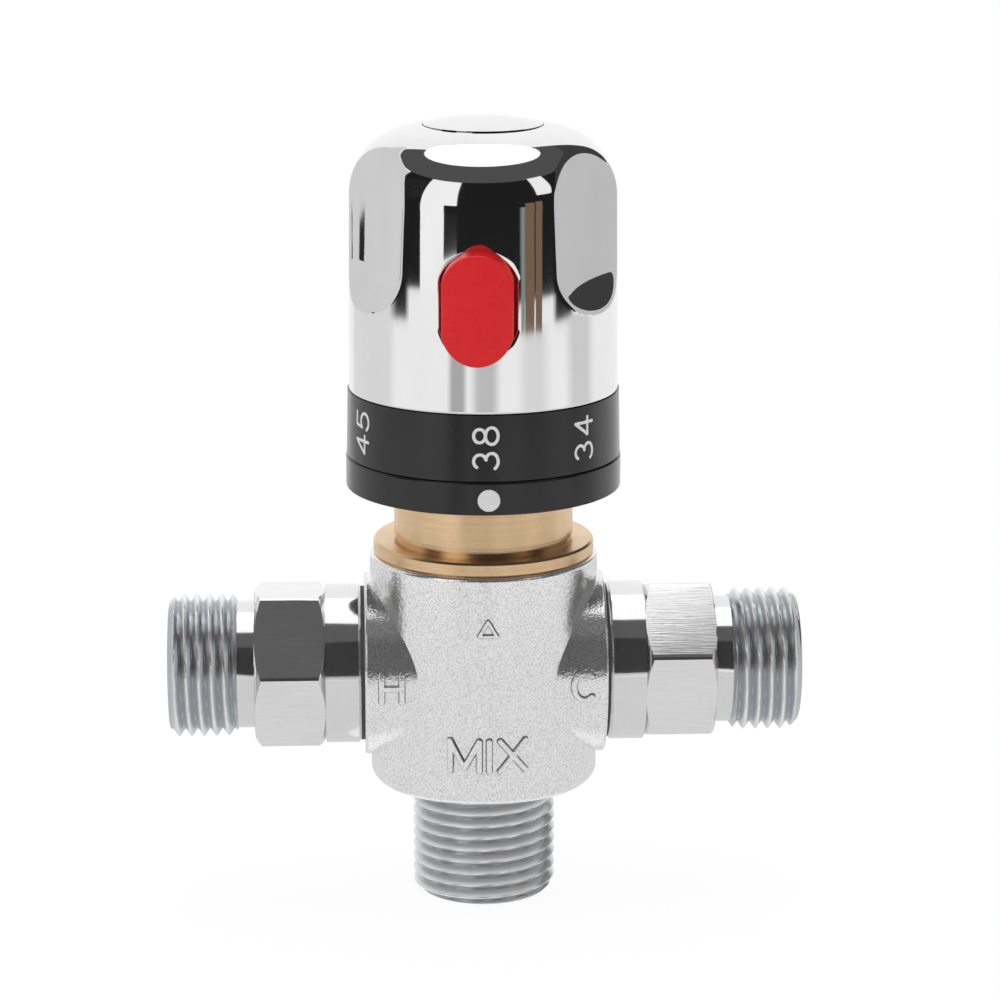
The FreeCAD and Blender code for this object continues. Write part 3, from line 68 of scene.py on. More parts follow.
class Wire:
    """One output of a shader node. Sums, differences and products add Math nodes."""

    def __init__(self, tree, socket=None):
        self.tree = tree
        self.socket = socket

    def node(self, kind, settings, sockets, output=0):
        """Add a node: its settings first, then the value or the wire of each socket."""
        made = self.tree.nodes.new(kind)
        for key, value in settings.items():
            setattr(made, key, value)
        for key, value in sockets.items():
            if isinstance(value, Wire):
                self.tree.links.new(value.socket, made.inputs[key])
            else:
                made.inputs[key].default_value = value
        return Wire(self.tree, made.outputs[output] if made.outputs else None)

    def math(self, operation, first, second=0.0):
        return self.node("ShaderNodeMath", {"operation": operation}, {0: first, 1: second})

    def __add__(self, other):
        return self.math("ADD", self, other)

    def __sub__(self, other):
        return self.math("SUBTRACT", self, other)

    def __rsub__(self, other):
        return self.math("SUBTRACT", other, self)

    def __mul__(self, other):
        return self.math("MULTIPLY", self, other)

    __radd__ = __add__
    __rmul__ = __mul__


def grey(level):
    return (level, level, level, 1.0)


def empty_material(name):
    """A material with no nodes yet, and a wire to start drawing its nodes from."""
    material = bpy.data.materials.new(name)
    material.use_nodes = True
    material.node_tree.nodes.clear()
    return material, Wire(material.node_tree)


def to_output(shader):
    shader.node("ShaderNodeOutputMaterial", {}, {"Surface": shader})


def place_of(wire):
    return wire.node("ShaderNodeTexCoord", {}, {}, "Object")


def one_axis(wire, place, axis):
    return wire.node("ShaderNodeSeparateXYZ", {}, {"Vector": place}, axis)


def mesh_object(name, points, quads):
    """A mesh from an array of points and an array of four-cornered faces."""
    mesh = bpy.data.meshes.new(name)
    mesh.from_pydata(points, [], quads.tolist())
    mesh.update()
    mesh.shade_smooth()
    piece = bpy.data.objects.new(name, mesh)
    bpy.context.scene.collection.objects.link(piece)
    return piece


def grid_quads(rows, columns, closed_rows, closed_columns):
    """The four corners of each cell of a grid of points, wrapped round where it is closed."""
    index = np.arange(rows * columns).reshape(rows, columns)
    down = np.roll(index, -1, axis=0)
    quads = np.stack([index, np.roll(index, -1, axis=1), np.roll(down, -1, axis=1), down], axis=-1)
    last_row = rows if closed_rows else rows - 1
    last_column = columns if closed_columns else columns - 1
    return quads[:last_row, :last_column].reshape(-1, 4)


def ring_wall(name, radii, heights, start, end):
    """A wall round the valve, between two directions from the front: at each of a few heights
    it stands at the given radius."""
    columns = 97
    angle = np.radians(np.linspace(start, end, columns))[None, :]
    reach = np.array(radii)[:, None]
    height = np.array(heights)[:, None] + 0 * angle
    points = np.stack([reach * np.sin(angle), -reach * np.cos(angle), height], axis=-1)
    quads = grid_quads(len(radii), columns, False, False)
    return mesh_object(name, points.reshape(-1, 3), quads)


def reflection_card(name, colour, radii, heights, start, end, soft=0.0):
    """A curved card of one brightness, upright or lying, which only mirror-like surfaces see. It
    fades out over the given number of degrees at both of its sides."""
    card = ring_wall(name, radii, heights, start - soft / 2, end + soft / 2)
    material, wire = empty_material(name)
    face = wire.node("ShaderNodeEmission", {}, {"Color": colour})
    if soft:
        place = place_of(wire)
        across, ahead = one_axis(wire, place, "X"), one_axis(wire, place, "Y")
        middle = math.radians((start + end) / 2)
        straight_on = across * math.sin(middle) - ahead * math.cos(middle)
        aside = across * math.cos(middle) + ahead * math.sin(middle)
        angle = wire.math("ABSOLUTE", wire.math("ARCTAN2", aside, straight_on))
        within = math.radians((end - start + soft) / 2) - angle
        share = wire.node("ShaderNodeMapRange", {"interpolation_type": "SMOOTHSTEP"}, {
            "Value": within, "From Min": 0.0, "From Max": math.radians(soft)}, "Result")
        clear = wire.node("ShaderNodeBsdfTransparent", {}, {})
        face = wire.node("ShaderNodeMixShader", {}, {"Fac": share, 1: clear, 2: face})
    to_output(face)
    card.data.materials.append(material)
    card.visible_camera = False
    card.visible_diffuse = False
    card.visible_shadow = False
    card.visible_transmission = False


table_radius = 0.56
table = ring_wall("table", (0.0005, table_radius), (0.0, 0.0), 0, 360)
table_material, wire = empty_material("white_table")
camera_ray = wire.node("ShaderNodeLightPath", {}, {}, "Is Camera Ray")
glossy_ray = wire.node("ShaderNodeLightPath", {}, {}, "Is Glossy Ray")
matt = wire.node("ShaderNodeBsdfDiffuse", {}, {"Color": grey(0.86)})
plain = wire.node("ShaderNodeEmission", {}, {"Color": grey(1.0), "Strength": 1.04})
plain_to_camera, plain_in_mirrors = 0.88, 0.75
plain_share = wire.math(
    "MAXIMUM", camera_ray * plain_to_camera, glossy_ray * plain_in_mirrors)
to_output(wire.node("ShaderNodeMixShader", {}, {"Fac": plain_share, 1: matt, 2: plain}))
table.data.materials.append(table_material)

# Behind the camera the room is unlit from the table's edge to a low dark ceiling, with a tall
# white reflector, a small one higher up and two wooden stands before it. A round screen hangs
# before the reflector, a post stands on the left, grey screens close both sides, and mats and
# grey boards lie on the table.
reflection_card("front_dark", grey(0.014), (0.62, 0.62), (-0.25, 0.69), -88, 84)
reflection_card("dark_ceiling", grey(0.085), (0.001, 0.62), (0.70, 0.69), -145, 150)
reflection_card("reflector", grey(1.0), (0.60, 0.60), (-0.2, 0.66), -56, -24)
reflection_card("round_screen", grey(0.014), (0.59, 0.59), (0.008, 0.15), -35, -23)
reflection_card("small_reflector", grey(0.95), (0.60, 0.60), (0.30, 0.69), 45, 62)
reflection_card("left_post", grey(0.02), (0.60, 0.60), (0.0, 0.032), -112, -108)
reflection_card("left_screen", grey(0.70), (0.61, 0.61), (-0.05, 0.66), -150, -88, 4)
reflection_card("right_screen", grey(0.58), (0.61, 0.61), (-0.05, 0.19), 84, 150, 4)
reflection_card("high_screen", grey(0.05), (0.61, 0.61), (0.19, 0.69), 84, 150)
wood = (0.20, 0.125, 0.08, 1.0)
reflection_card("wide_stand", wood, (0.485, 0.485), (0.0, 0.17), 33, 41)
reflection_card("thin_stand", wood, (0.485, 0.485), (0.0, 0.18), 42, 48)
reflection_card("grey_stand", (0.24, 0.28, 0.26, 1.0), (0.49, 0.49), (0.0, 0.12), 29, 33, 3)
reflection_card("left_mat", grey(0.02), (0.50, 0.56), (0.001, 0.001), -92, -68, 6)
reflection_card("right_mat", grey(0.02), (0.50, 0.56), (0.001, 0.001), 60, 78, 6)
reflection_card("left_board", grey(0.45), (0.26, 0.50), (0.001, 0.001), -30, -17, 6)
reflection_card("middle_board", grey(0.56), (0.26, 0.50), (0.001, 0.001), -10, 9, 10)
reflection_card("right_board", grey(0.78), (0.26, 0.50), (0.001, 0.001), 30, 52, 14)
reflection_card("near_board", grey(0.72), (0.02, 0.235), (0.001, 0.001), -180, 180)
reflection_card("left_side_board", grey(0.78), (0.24, 0.56), (0.002, 0.002), -145, -84, 12)
reflection_card("right_side_board", grey(0.68), (0.24, 0.50), (0.002, 0.002), 74, 100, 14)

world = bpy.data.worlds.new("studio")
world.use_nodes = True
world.node_tree.nodes.clear()
wire = Wire(world.node_tree)
seen = wire.math(
    "MAXIMUM", wire.node("ShaderNodeLightPath", {}, {}, "Is Camera Ray"),
    wire.node("ShaderNodeLightPath", {}, {}, "Is Glossy Ray"))
seen = wire.math("MAXIMUM", seen, wire.node("ShaderNodeLightPath", {}, {}, "Is Transmission Ray"))
room_light = 0.75
sky = wire.node("ShaderNodeBackground", {}, {
    "Color": grey(1.0), "Strength": seen * (1.0 - room_light) + room_light})
wire.node("ShaderNodeOutputWorld", {}, {"Surface": sky})
bpy.context.scene.world = world


valve_middle = 0.06


def soft_lamp(name, place, width, brightness):
    """A round lamp whose face has the given brightness, turned towards the valve's middle."""
    data = bpy.data.lights.new(name, "AREA")
    data.shape = "DISK"
    data.size = width
    face_area = math.pi * width * width / 4
    data.energy = brightness * math.pi * face_area
    lamp = bpy.data.objects.new(name, data)
    lamp.location = place
    towards = Vector((0, 0, valve_middle)) - Vector(place)
    lamp.rotation_euler = towards.to_track_quat("-Z", "Y").to_euler()
    bpy.context.scene.collection.objects.link(lamp)


soft_lamp("overhead_lamp", (0.0, 0.084, 0.59), 0.50, 1.15)
soft_lamp("left_lamp", (-1.2, -0.5, 0.7), 0.7, 1.0)


# ---------------------------------------------------------------------------------------------
# Casting
# The valve's body: a brass casting, chromed over its fine sand-like skin, with the half-inch
# outlet thread cut on its spigot. H, C, MIX and a small triangle are cast on proud of it.

upright_middle, across_upright = (0.0, 0.0, 0.0), (1.0, 1.0, 0.0)
thread_pitch = 1.814 * mm
thread_crest = 10.4775 * mm
thread_root = 9.32 * mm
flank_sharpness = 0.97


def noise(wire, place, scale, detail):
    return wire.node("ShaderNodeTexNoise", {}, {
        "Vector": place, "Scale": scale, "Detail": detail})


def stretched(wire, place, scale):
    """Object coordinates with each axis scaled, so that a pattern runs in lines."""
    return wire.node("ShaderNodeMapping", {}, {"Vector": place, "Scale": scale})


def between(wire, factor, low, high):
    """A colour between two, by a factor."""
    return wire.node("ShaderNodeMix", {"data_type": "RGBA"}, {0: factor, 6: low, 7: high}, 2)


def finish_surface(wire, colour, roughness, height, depth, metallic=0.0, constants=()):
    """The shader of one finish: its colour, roughness and bumps vary, the rest are constants."""
    bumps = wire.node("ShaderNodeBump", {}, {"Height": height, "Distance": depth})
    sockets = {"Base Color": colour, "Roughness": roughness, "Normal": bumps,
               "Metallic": metallic}
    sockets.update(constants)
    to_output(wire.node("ShaderNodeBsdfPrincipled", {}, sockets))


def cast_chrome(name, marked):
    """Bright plate over a cast skin: fine grains, a fifth of a millimetre across, on a slightly
    uneven wall. Each grain throws its own glint from its bumps, and its colour is also painted
    lighter and darker grain by grain, as painted glints and shade. The flanks of the marks that are
    cast on it are painted dark, as painted shadow."""
    material, wire = empty_material(name)
    place = place_of(wire)
    grain = noise(wire, place, 4200.0, 2.0)
    coarse = noise(wire, place, 1500.0, 2.0)
    # Painted glints and shade: the base colour is painted lighter and darker grain by grain.
    painted_glint_speckle = wire.node("ShaderNodeMapRange", {}, {
        "Value": grain, "From Min": 0.36, "From Max": 0.56}, "Result")
    colour = between(wire, painted_glint_speckle, grey(0.74), grey(1.0))
    if marked:
        # Painted shadow: the marks' flanks are darkened towards grey 0.25.
        painted_flank_shade = wire.node("ShaderNodeAttribute", {"attribute_name": "painted_flank_shade"}, {}, "Fac")
        colour = between(wire, painted_flank_shade, colour, grey(0.25))
    finish_surface(wire, colour, coarse * 0.10 + 0.06, grain * 0.5 + coarse * 0.6, 0.00005,
                   metallic=0.85)
    return material


def reach_from(wire, place, middle, directions):
    """How far a point lies from an axis, in metres: the length of its offset from a point on
    the axis, where the directions are 1 across the axis and 0 along it."""
    across = wire.node("ShaderNodeVectorMath", {"operation": "SUBTRACT"}, {0: place, 1: middle})
    across = wire.node("ShaderNodeVectorMath", {"operation": "MULTIPLY"}, {
        0: across, 1: directions})
    return wire.node("ShaderNodeVectorMath", {"operation": "LENGTH"}, {0: across}, "Value")


def satin_thread(name, middle, directions, metallic):
    """Thin plate over cut threads: painted shade greys the colour towards the roots, where light is
    lost between the flanks, with faint tool lines along the turns."""
    material, wire = empty_material(name)
    place = place_of(wire)
    depth = thread_crest - reach_from(wire, place, middle, directions)
    # Painted shade: the colour greys from the crests towards the thread's roots.
    painted_root_shade = wire.node("ShaderNodeMapRange", {}, {
        "Value": depth, "From Min": 0.1 * mm, "From Max": 0.65 * mm}, "Result")
    lines = noise(wire, stretched(wire, place, (500.0, 500.0, 9000.0)), 1.0, 2.0)
    patches = noise(wire, place, 400.0, 2.0)
    bright = between(wire, patches, grey(0.88), grey(1.0))
    colour = between(wire, painted_root_shade, bright, (0.58, 0.60, 0.62, 1.0))
    finish_surface(wire, colour, patches * 0.15 + 0.14, lines, 0.00002, metallic=metallic)
    return material


def dress_piece(piece, body, material):
    """Give a new piece its finish and the body that it moves with."""
    piece.data.materials.clear()
    piece.data.materials.append(material)
    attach(piece, body)


def merged_copy(node, name):
    """A copy of a solid's mesh with its loose triangles joined, smooth but for its real edges.
    Its shading follows the large faces, so that a small round beside one doesn't bend it."""
    mesh = nodes[node].data.copy()
    mesh.name = name
    joined = bmesh.new()
    joined.from_mesh(mesh)
    bmesh.ops.remove_doubles(joined, verts=joined.verts, dist=1e-7)
    joined.to_mesh(mesh)
    joined.free()
    if "custom_normal" in mesh.attributes:
        mesh.attributes.remove(mesh.attributes["custom_normal"])
    mesh.shade_smooth()
    mesh.set_sharp_from_angle(angle=math.radians(32))
    piece = bpy.data.objects.new(name, mesh)
    bpy.context.scene.collection.objects.link(piece)
    shading = piece.modifiers.new("large_faces_lead", "WEIGHTED_NORMAL")
    shading.keep_sharp = True
    shading.weight = 80
    return piece


def read_points(piece):
    points = np.empty(len(piece.data.vertices) * 3, np.float32)
    piece.data.vertices.foreach_get("co", points)
    return points.reshape(-1, 3)


def write_points(piece, points):
    piece.data.vertices.foreach_set("co", points.astype(np.float32).ravel())
    piece.data.update()


def thread_sleeve(name, length, core, chamfer, run_out, turned_to):
    """A right-hand thread as a closed sleeve. Height runs from the free end. The radius swings
    between root and crest once a pitch, by a wave of nearly straight flanks, along height less
    the turn's share of the pitch. A cone cuts the crests at the free end and another where they
    run out."""
    columns, rows_a_pitch = 216, 18
    rows = int(length / thread_pitch * rows_a_pitch)
    turn = np.linspace(0, 2 * math.pi, columns, endpoint=False)[None, :]
    height = np.linspace(0, length, rows)[:, None]
    wave = np.cos(2 * math.pi * (height / thread_pitch - turn / (2 * math.pi)))
    swell = 0.5 + 0.5 * np.arcsin(flank_sharpness * wave) / math.asin(flank_sharpness)
    radius = thread_root + (thread_crest - thread_root) * swell
    chamfer_radius, chamfer_length = chamfer
    end_slope = (thread_crest - chamfer_radius) / chamfer_length
    radius = np.minimum(radius, chamfer_radius + end_slope * height)
    radius = np.minimum(radius, thread_root + run_out * (length - height))
    radius = np.concatenate([0 * turn + core, radius, 0 * turn + core])
    height = np.concatenate([height[:1], height, height[-1:]]) + 0 * turn
    points = np.stack([radius * np.cos(turn), radius * np.sin(turn), height], axis=-1)
    quads = grid_quads(rows + 2, columns, True, True)
    sleeve = mesh_object(name, turned_to(points.reshape(-1, 3)), quads)
    sleeve.data.set_sharp_from_angle(angle=math.radians(55))
    return sleeve


casting = merged_copy("valve_body", "body_casting")
points = read_points(casting)
reach = np.hypot(points[:, 0], points[:, 1])
spigot_length = 17.3 * mm
spigot_core = 8.95 * mm
outside_bore, inside_barrel = 9.0 * mm, 10.6 * mm
slack = 0.01 * mm
on_spigot = (points[:, 2] < spigot_length + slack) & (reach > outside_bore) & (
    reach < inside_barrel)
points[on_spigot, :2] *= (spigot_core / reach[on_spigot])[:, None]
write_points(casting, points)
chrome_skin = cast_chrome("cast_chrome", False)
marked_skin = cast_chrome("marked_chrome", True)
dress_piece(casting, "valve", chrome_skin)
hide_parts("valve_body")

step_up = 0.02 * mm
sharp_run_out = 60.0
outlet_thread = thread_sleeve(
    "outlet_thread", spigot_length - step_up, spigot_core - step_up,
    (9.45 * mm, 1.0 * mm), sharp_run_out,
    lambda p: p + np.array([0, 0, step_up]))
dress_piece(outlet_thread, "valve",
            satin_thread("outlet_thread_plate", upright_middle, across_upright, 0.6))


def distance_to_strokes(u, v, strokes):
    """Each grid point's distance to the nearest of some polylines."""
    nearest = np.full(u.shape, 1.0)
    for stroke in strokes:
        for start, end in zip(stroke[:-1], stroke[1:]):
            along = end - start
            share = (u - start[0]) * along[0] + (v - start[1]) * along[1]
            share = np.clip(share / max(along @ along, 1e-12), 0, 1)
            gap = np.hypot(u - start[0] - share * along[0], v - start[1] - share * along[1])
            nearest = np.minimum(nearest, gap)
    return nearest


def raised_mark(name, strokes, half_width, lift, edge, step, wrap):
    """A mark that stands proud of a round wall. Over a flat grid its height is the lift within
    half a width of a stroke, and falls by a smooth step to below the wall; wrap bends the grid
    round the wall. Only the cells that hold the mark are kept, and a thickness closes them."""
    ends = np.concatenate(strokes)
    margin = half_width + edge + 2 * step
    low, high = ends.min(0) - margin, ends.max(0) + margin
    u, v = np.meshgrid(np.arange(low[0], high[0], step), np.arange(low[1], high[1], step))
    fall = np.clip((distance_to_strokes(u, v, strokes) - half_width) / edge, 0, 1)
    bury = lift * 0.6
    height = lift - (lift + bury) * fall * fall * (3 - 2 * fall)
    quads = grid_quads(*u.shape, False, False)
    quads = quads[height.ravel()[quads].max(axis=1) > -0.9 * bury]
    used, quads = np.unique(quads, return_inverse=True)
    points = wrap(u.ravel(), v.ravel(), height.ravel())[used]
    mark = mesh_object(name, points, quads.reshape(-1, 4))
    # Each point keeps a painted shade for the mark's flanks, strongest halfway down the fall.
    painted_flank_shade = mark.data.attributes.new("painted_flank_shade", "FLOAT", "POINT")
    painted_flank_shade.data.foreach_set("value", (4 * fall * (1 - fall)).ravel()[used])
    solid = mark.modifiers.new("closed", "SOLIDIFY")
    solid.thickness = 2 * lift
    solid.offset = -1.0
    return mark


def polyline(*corners):
    return np.array(corners, float)


def bow(centre, radii, start, end):
    """Part of an ellipse, from one angle to another, as a polyline."""
    angle = np.radians(np.linspace(start, end, 25))
    return np.stack([centre[0] + radii[0] * np.cos(angle), centre[1] + radii[1] * np.sin(angle)], 1)


def round_barrel(radius, azimuth, level, taper=0.0):
    """A wrap round the valve's upright axis, centred at a direction from the front, on a barrel
    that narrows upwards by its taper."""
    def wrap(u, v, height):
        angle = math.radians(azimuth) + u / radius
        reach = radius - taper * v + height
        return np.stack([reach * np.sin(angle), -reach * np.cos(angle), level + v], axis=-1)
    return wrap


def round_port(radius, middle, level):
    """A wrap round the ports' level axis, centred at a place along it."""
    def wrap(u, v, height):
        angle = v / radius
        return np.stack([middle + u, -(radius + height) * np.cos(angle),
                         level + (radius + height) * np.sin(angle)], axis=-1)
    return wrap


def scaled(strokes, width, height):
    """Strokes drawn in a unit box, stretched to a size about the box's middle."""
    return [(stroke - 0.5) * np.array([width, height]) for stroke in strokes]


mark_half_width = 0.33 * mm
mark_lift = 0.34 * mm
mark_edge = 0.34 * mm
mark_step = 0.11 * mm
letter_m = [polyline((0, 0), (0, 1), (0.5, 0.12), (1, 1), (1, 0))]
letter_i = [polyline((0.5, 0), (0.5, 1))]
letter_x = [polyline((0, 0), (1, 1)), polyline((0, 1), (1, 0))]
letter_h = [polyline((0, 0), (0, 1)), polyline((1, 0), (1, 1)), polyline((0, 0.5), (1, 0.5))]
letter_c = [bow((0.55, 0.5), (0.5, 0.5), 48, 312)]
triangle = [polyline((0, 0), (0.5, 1), (1, 0), (0, 0))]
letter_height = 4.5 * mm
mix = [stroke + np.array([shift, 0])
       for letter, width, shift in ((letter_m, 4.2 * mm, -3.55 * mm),
                                    (letter_i, 1.0 * mm, -0.02 * mm),
                                    (letter_x, 3.7 * mm, 3.4 * mm))
       for stroke in scaled(letter, width, letter_height)]
boss_radius = 13.35 * mm
port_level = 34.5 * mm
barrel_radius = 16.6 * mm
for mark in (
    raised_mark("outlet_mark", mix, mark_half_width, mark_lift, mark_edge, mark_step,
                round_barrel(barrel_radius, 0.6, 25.2 * mm)),
    raised_mark("front_mark", scaled(triangle, 2.5 * mm, 2.2 * mm), 0.2 * mm, 0.28 * mm,
                0.26 * mm, 0.08 * mm, round_barrel(barrel_radius, 0.0, 44.2 * mm)),
    raised_mark("hot_mark", scaled(letter_h, 2.9 * mm, 4.1 * mm), mark_half_width, mark_lift,
                mark_edge, mark_step, round_port(boss_radius, -13.7 * mm, port_level)),
    raised_mark("cold_mark", scaled(letter_c, 3.1 * mm, 4.1 * mm), mark_half_width, mark_lift,
                mark_edge, mark_step, round_port(boss_radius, 13.9 * mm, port_level)),
):
    dress_piece(mark, "valve", marked_skin)


# ---------------------------------------------------------------------------------------------
# Inlet adapters
# Turned from hexagon brass bar and bright chromed: a sleeve against the boss, a hexagon for the
# spanner, a neck and the half-inch thread. They screw into the bosses.

hexagon_start, hexagon_end = 23.2 * mm, 33.5 * mm


def turned_chrome():
    """Bright plate over bar: lathe lines run round the turned parts, and the hexagon's faces
    keep the long lines of the drawn bar."""
    material, wire = empty_material("turned_chrome")
    place = place_of(wire)
    lathe = noise(wire, stretched(wire, place, (7000.0, 250.0, 250.0)), 1.0, 3.0)
    drawn = noise(wire, stretched(wire, place, (250.0, 7000.0, 7000.0)), 1.0, 3.0)
    along = wire.math("ABSOLUTE", one_axis(wire, place, "X"))
    on_hexagon = wire.math("GREATER_THAN", along, hexagon_start) * wire.math(
        "LESS_THAN", along, hexagon_end)
    lines = drawn * on_hexagon + lathe * (1.0 - on_hexagon) * 0.4
    smears = noise(wire, place, 160.0, 3.0)
    colour = between(wire, smears * 0.4 + lines * 0.6, grey(0.74), grey(1.0))
    finish_surface(wire, colour, smears * 0.10 + 0.04, lines, 0.000004, metallic=0.95)
    return material


bright_chrome = turned_chrome()
inlet_plate = satin_thread(
    "inlet_thread_plate", (0.0, 0.0, port_level), (0.0, 1.0, 1.0), 0.92)
thread_start, thread_end = 36.0 * mm, 46.0 * mm
neck_radius = 9.35 * mm
slow_run_out = 1.4
for side, sign in (("hot", -1), ("cold", 1)):
    adapter = merged_copy(side + "_inlet_adapter", side + "_port_adapter")
    points = read_points(adapter)
    reach = np.hypot(points[:, 1], points[:, 2] - port_level)
    on_thread = (np.abs(points[:, 0]) > thread_start - slack) & (reach > outside_bore)
    on_neck = np.abs(points[:, 0]) < thread_start + slack
    on_thread &= ~on_neck | (reach > neck_radius)
    wanted = np.where(on_thread, spigot_core, reach)
    share = (wanted / np.maximum(reach, 1e-9))[:, None]
    points[:, 1:] = (points[:, 1:] - (0, port_level)) * share + (0, port_level)
    write_points(adapter, points)
    dress_piece(adapter, "valve", bright_chrome)
    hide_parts(side + "_inlet_adapter")
    inlet_thread = thread_sleeve(
        side + "_inlet_thread", thread_end - thread_start - step_up, spigot_core - step_up,
        (9.2 * mm, 1.2 * mm), slow_run_out,
        lambda p, sign=sign: np.stack([
            sign * (thread_end - step_up - p[:, 2]), p[:, 0],
            port_level - sign * p[:, 1]], axis=-1))
    dress_piece(inlet_thread, "valve", inlet_plate)


# ---------------------------------------------------------------------------------------------
# Gaskets and O-rings
# Black moulded rubber: the thin gasket between each boss and its adapter, and every seal ring.

def black_rubber():
    """Matt black, with the bloom and fine skin of moulded rubber."""
    material, wire = empty_material("black_rubber")
    place = place_of(wire)
    skin = noise(wire, place, 2600.0, 2.0)
    bloom = noise(wire, place, 300.0, 3.0)
    colour = between(wire, bloom, grey(0.05), grey(0.09))
    finish_surface(wire, colour, bloom * 0.2 + 0.55, skin, 0.00003)
    return material


def dress_nodes(names, material):
    """Give some of the solids, whose shapes are right as they are, a better material."""
    for name in names:
        nodes[name].data.materials.clear()
        nodes[name].data.materials.append(material)


dress_nodes((
    "hot_adapter_gasket", "cold_adapter_gasket", "hot_check_oring", "cold_check_oring",
    "hot_check_washer", "cold_check_washer", "sleeve_middle_oring", "sleeve_lower_oring",
    "shuttle_oring", "bonnet_oring", "spindle_lower_oring", "spindle_upper_oring",
), black_rubber())


# ---------------------------------------------------------------------------------------------
# Bonnet
# A turned brass cap screwed into the casting and left unplated: a broad flange, and a collar
# that carries the index ring. The tool has left fine rings on it.

def turned_brass():
    """Satin brass: rings a tenth of a millimetre apart about the upright axis, with patches of
    darker tarnish between them."""
    material, wire = empty_material("turned_brass")
    place = place_of(wire)
    reach = reach_from(wire, place, upright_middle, across_upright)
    height = one_axis(wire, place, "Z")
    rings_at = wire.node("ShaderNodeCombineXYZ", {}, {0: reach * 5200.0, 1: height * 5200.0})
    rings = noise(wire, rings_at, 1.0, 3.0)
    tarnish = noise(wire, place, 220.0, 3.0)
    gold = between(wire, tarnish, (0.78, 0.54, 0.31, 1.0), (0.97, 0.72, 0.46, 1.0))
    colour = between(wire, rings * 0.5, gold, (0.66, 0.43, 0.23, 1.0))
    finish_surface(wire, colour, rings * 0.14 + 0.18, rings, 0.00002, metallic=0.95)
    return material


brass_finish = turned_brass()
bonnet = merged_copy("bonnet", "brass_bonnet")
dress_piece(bonnet, "valve", brass_finish)
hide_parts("bonnet")


# ---------------------------------------------------------------------------------------------
# Index ring and dial ring
# Two rings of black moulded plastic. The lower one is fixed and has the white index dot; the
# upper one turns with the knob and has the temperatures printed on it, to be read sideways.

def black_plastic():
    """Black plastic from a polished mould, with a faint grain and duller where it is handled."""
    material, wire = empty_material("black_plastic")
    place = place_of(wire)
    grain = noise(wire, place, 3200.0, 2.0)
    handling = noise(wire, place, 130.0, 3.0)
    colour = between(wire, handling, grey(0.006), grey(0.012))
    finish_surface(wire, colour, handling * 0.14 + 0.12, grain, 0.000008)
    return material


def white_ink():
    """Pad-printed white, a little thin in places."""
    material, wire = empty_material("white_ink")
    place = place_of(wire)
    cover = noise(wire, place, 1800.0, 3.0)
    colour = between(wire, cover, grey(0.68), grey(0.88))
    finish_surface(wire, colour, cover * 0.15 + 0.4, cover, 0.00001)
    return material


dark_plastic = black_plastic()
for node, name, body in (
    ("index_ring", "fixed_ring", "valve"),
    ("dial_ring", "number_ring", "knob"),
):
    ring = merged_copy(node, name)
    dress_piece(ring, body, dark_plastic)
    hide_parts(node)

figure_3 = [bow((0.40, 0.74), (0.36, 0.26), 150, -75), bow((0.40, 0.26), (0.44, 0.26), 75, -150)]
figure_4 = [polyline((0.66, 0), (0.66, 1), (0, 0.3), (0.95, 0.3))]
figure_5 = [polyline((0.84, 1), (0.16, 1), (0.08, 0.56)),
            bow((0.40, 0.31), (0.46, 0.31), 135, -150)]
figure_8 = [bow((0.45, 0.76), (0.36, 0.24), 0, 360), bow((0.45, 0.26), (0.45, 0.26), 0, 360)]
figure_height = 3.44 * mm
figure_width = 2.65 * mm
figure_advance = 3.5 * mm
figure_half_width = 0.14 * mm
figure_step = 0.06 * mm
ink_lift, ink_edge = 0.035 * mm, 0.10 * mm
dial_radius = 19.69 * mm
dial_level = 71.4 * mm
dial_taper = 0.18 / 9.4
white_print = white_ink()
for name, first, second, azimuth in (
    ("figure_45", figure_4, figure_5, -63.0),
    ("figure_38", figure_3, figure_8, -1.2),
    ("figure_34", figure_3, figure_4, 44.0),
):
    strokes = [np.stack([-stroke[:, 1], stroke[:, 0] + shift], 1)
               for figure, shift in ((first, -figure_advance / 2), (second, figure_advance / 2))
               for stroke in scaled(figure, figure_width, figure_height)]
    printed = raised_mark(name, strokes, figure_half_width, ink_lift, ink_edge, figure_step,
                          round_barrel(dial_radius, azimuth, dial_level, dial_taper))
    dress_piece(printed, "knob", white_print)

dot_radius, dot_step, dot_level = 1.5 * mm, 0.1 * mm, 63.8 * mm
index_ring_radius = 19.9 * mm
dot = raised_mark("index_dot", [polyline((0, 0), (1e-6, 0))], dot_radius, ink_lift, ink_edge,
                  dot_step, round_barrel(index_ring_radius, 0.0, dot_level))
dress_piece(dot, "valve", white_print)


# ---------------------------------------------------------------------------------------------
# Knob
# A hollow cover moulded in plastic and bright chromed, with three finger grips, and the round
# cap that hides the knob's screw.

gap_reach, gap_top = 8.65 * mm, 113.96 * mm


def plated_plastic():
    """Mirror-bright plate over moulded plastic: slow ripples, and faint smears of handling. The
    narrow gap round the cap is painted black as painted shade, and left unplated there."""
    material, wire = empty_material("plated_plastic")
    place = place_of(wire)
    ripples = noise(wire, place, 55.0, 1.0)
    smears = noise(wire, stretched(wire, place, (160.0, 160.0, 60.0)), 1.0, 4.0)
    plate = between(wire, smears, grey(0.78), grey(0.90))
    reach = reach_from(wire, place, upright_middle, across_upright)
    height = one_axis(wire, place, "Z")
    # The gap round the cap is painted black as painted shade, and is left unplated.
    painted_shade_unplated_gap = wire.math("LESS_THAN", reach, gap_reach) * wire.math(
        "LESS_THAN", height, gap_top)
    colour = between(wire, painted_shade_unplated_gap, plate, grey(0.01))
    finish_surface(wire, colour, smears * 0.06 + 0.01, ripples, 0.0001,
                   metallic=1.0 - painted_shade_unplated_gap)
    return material


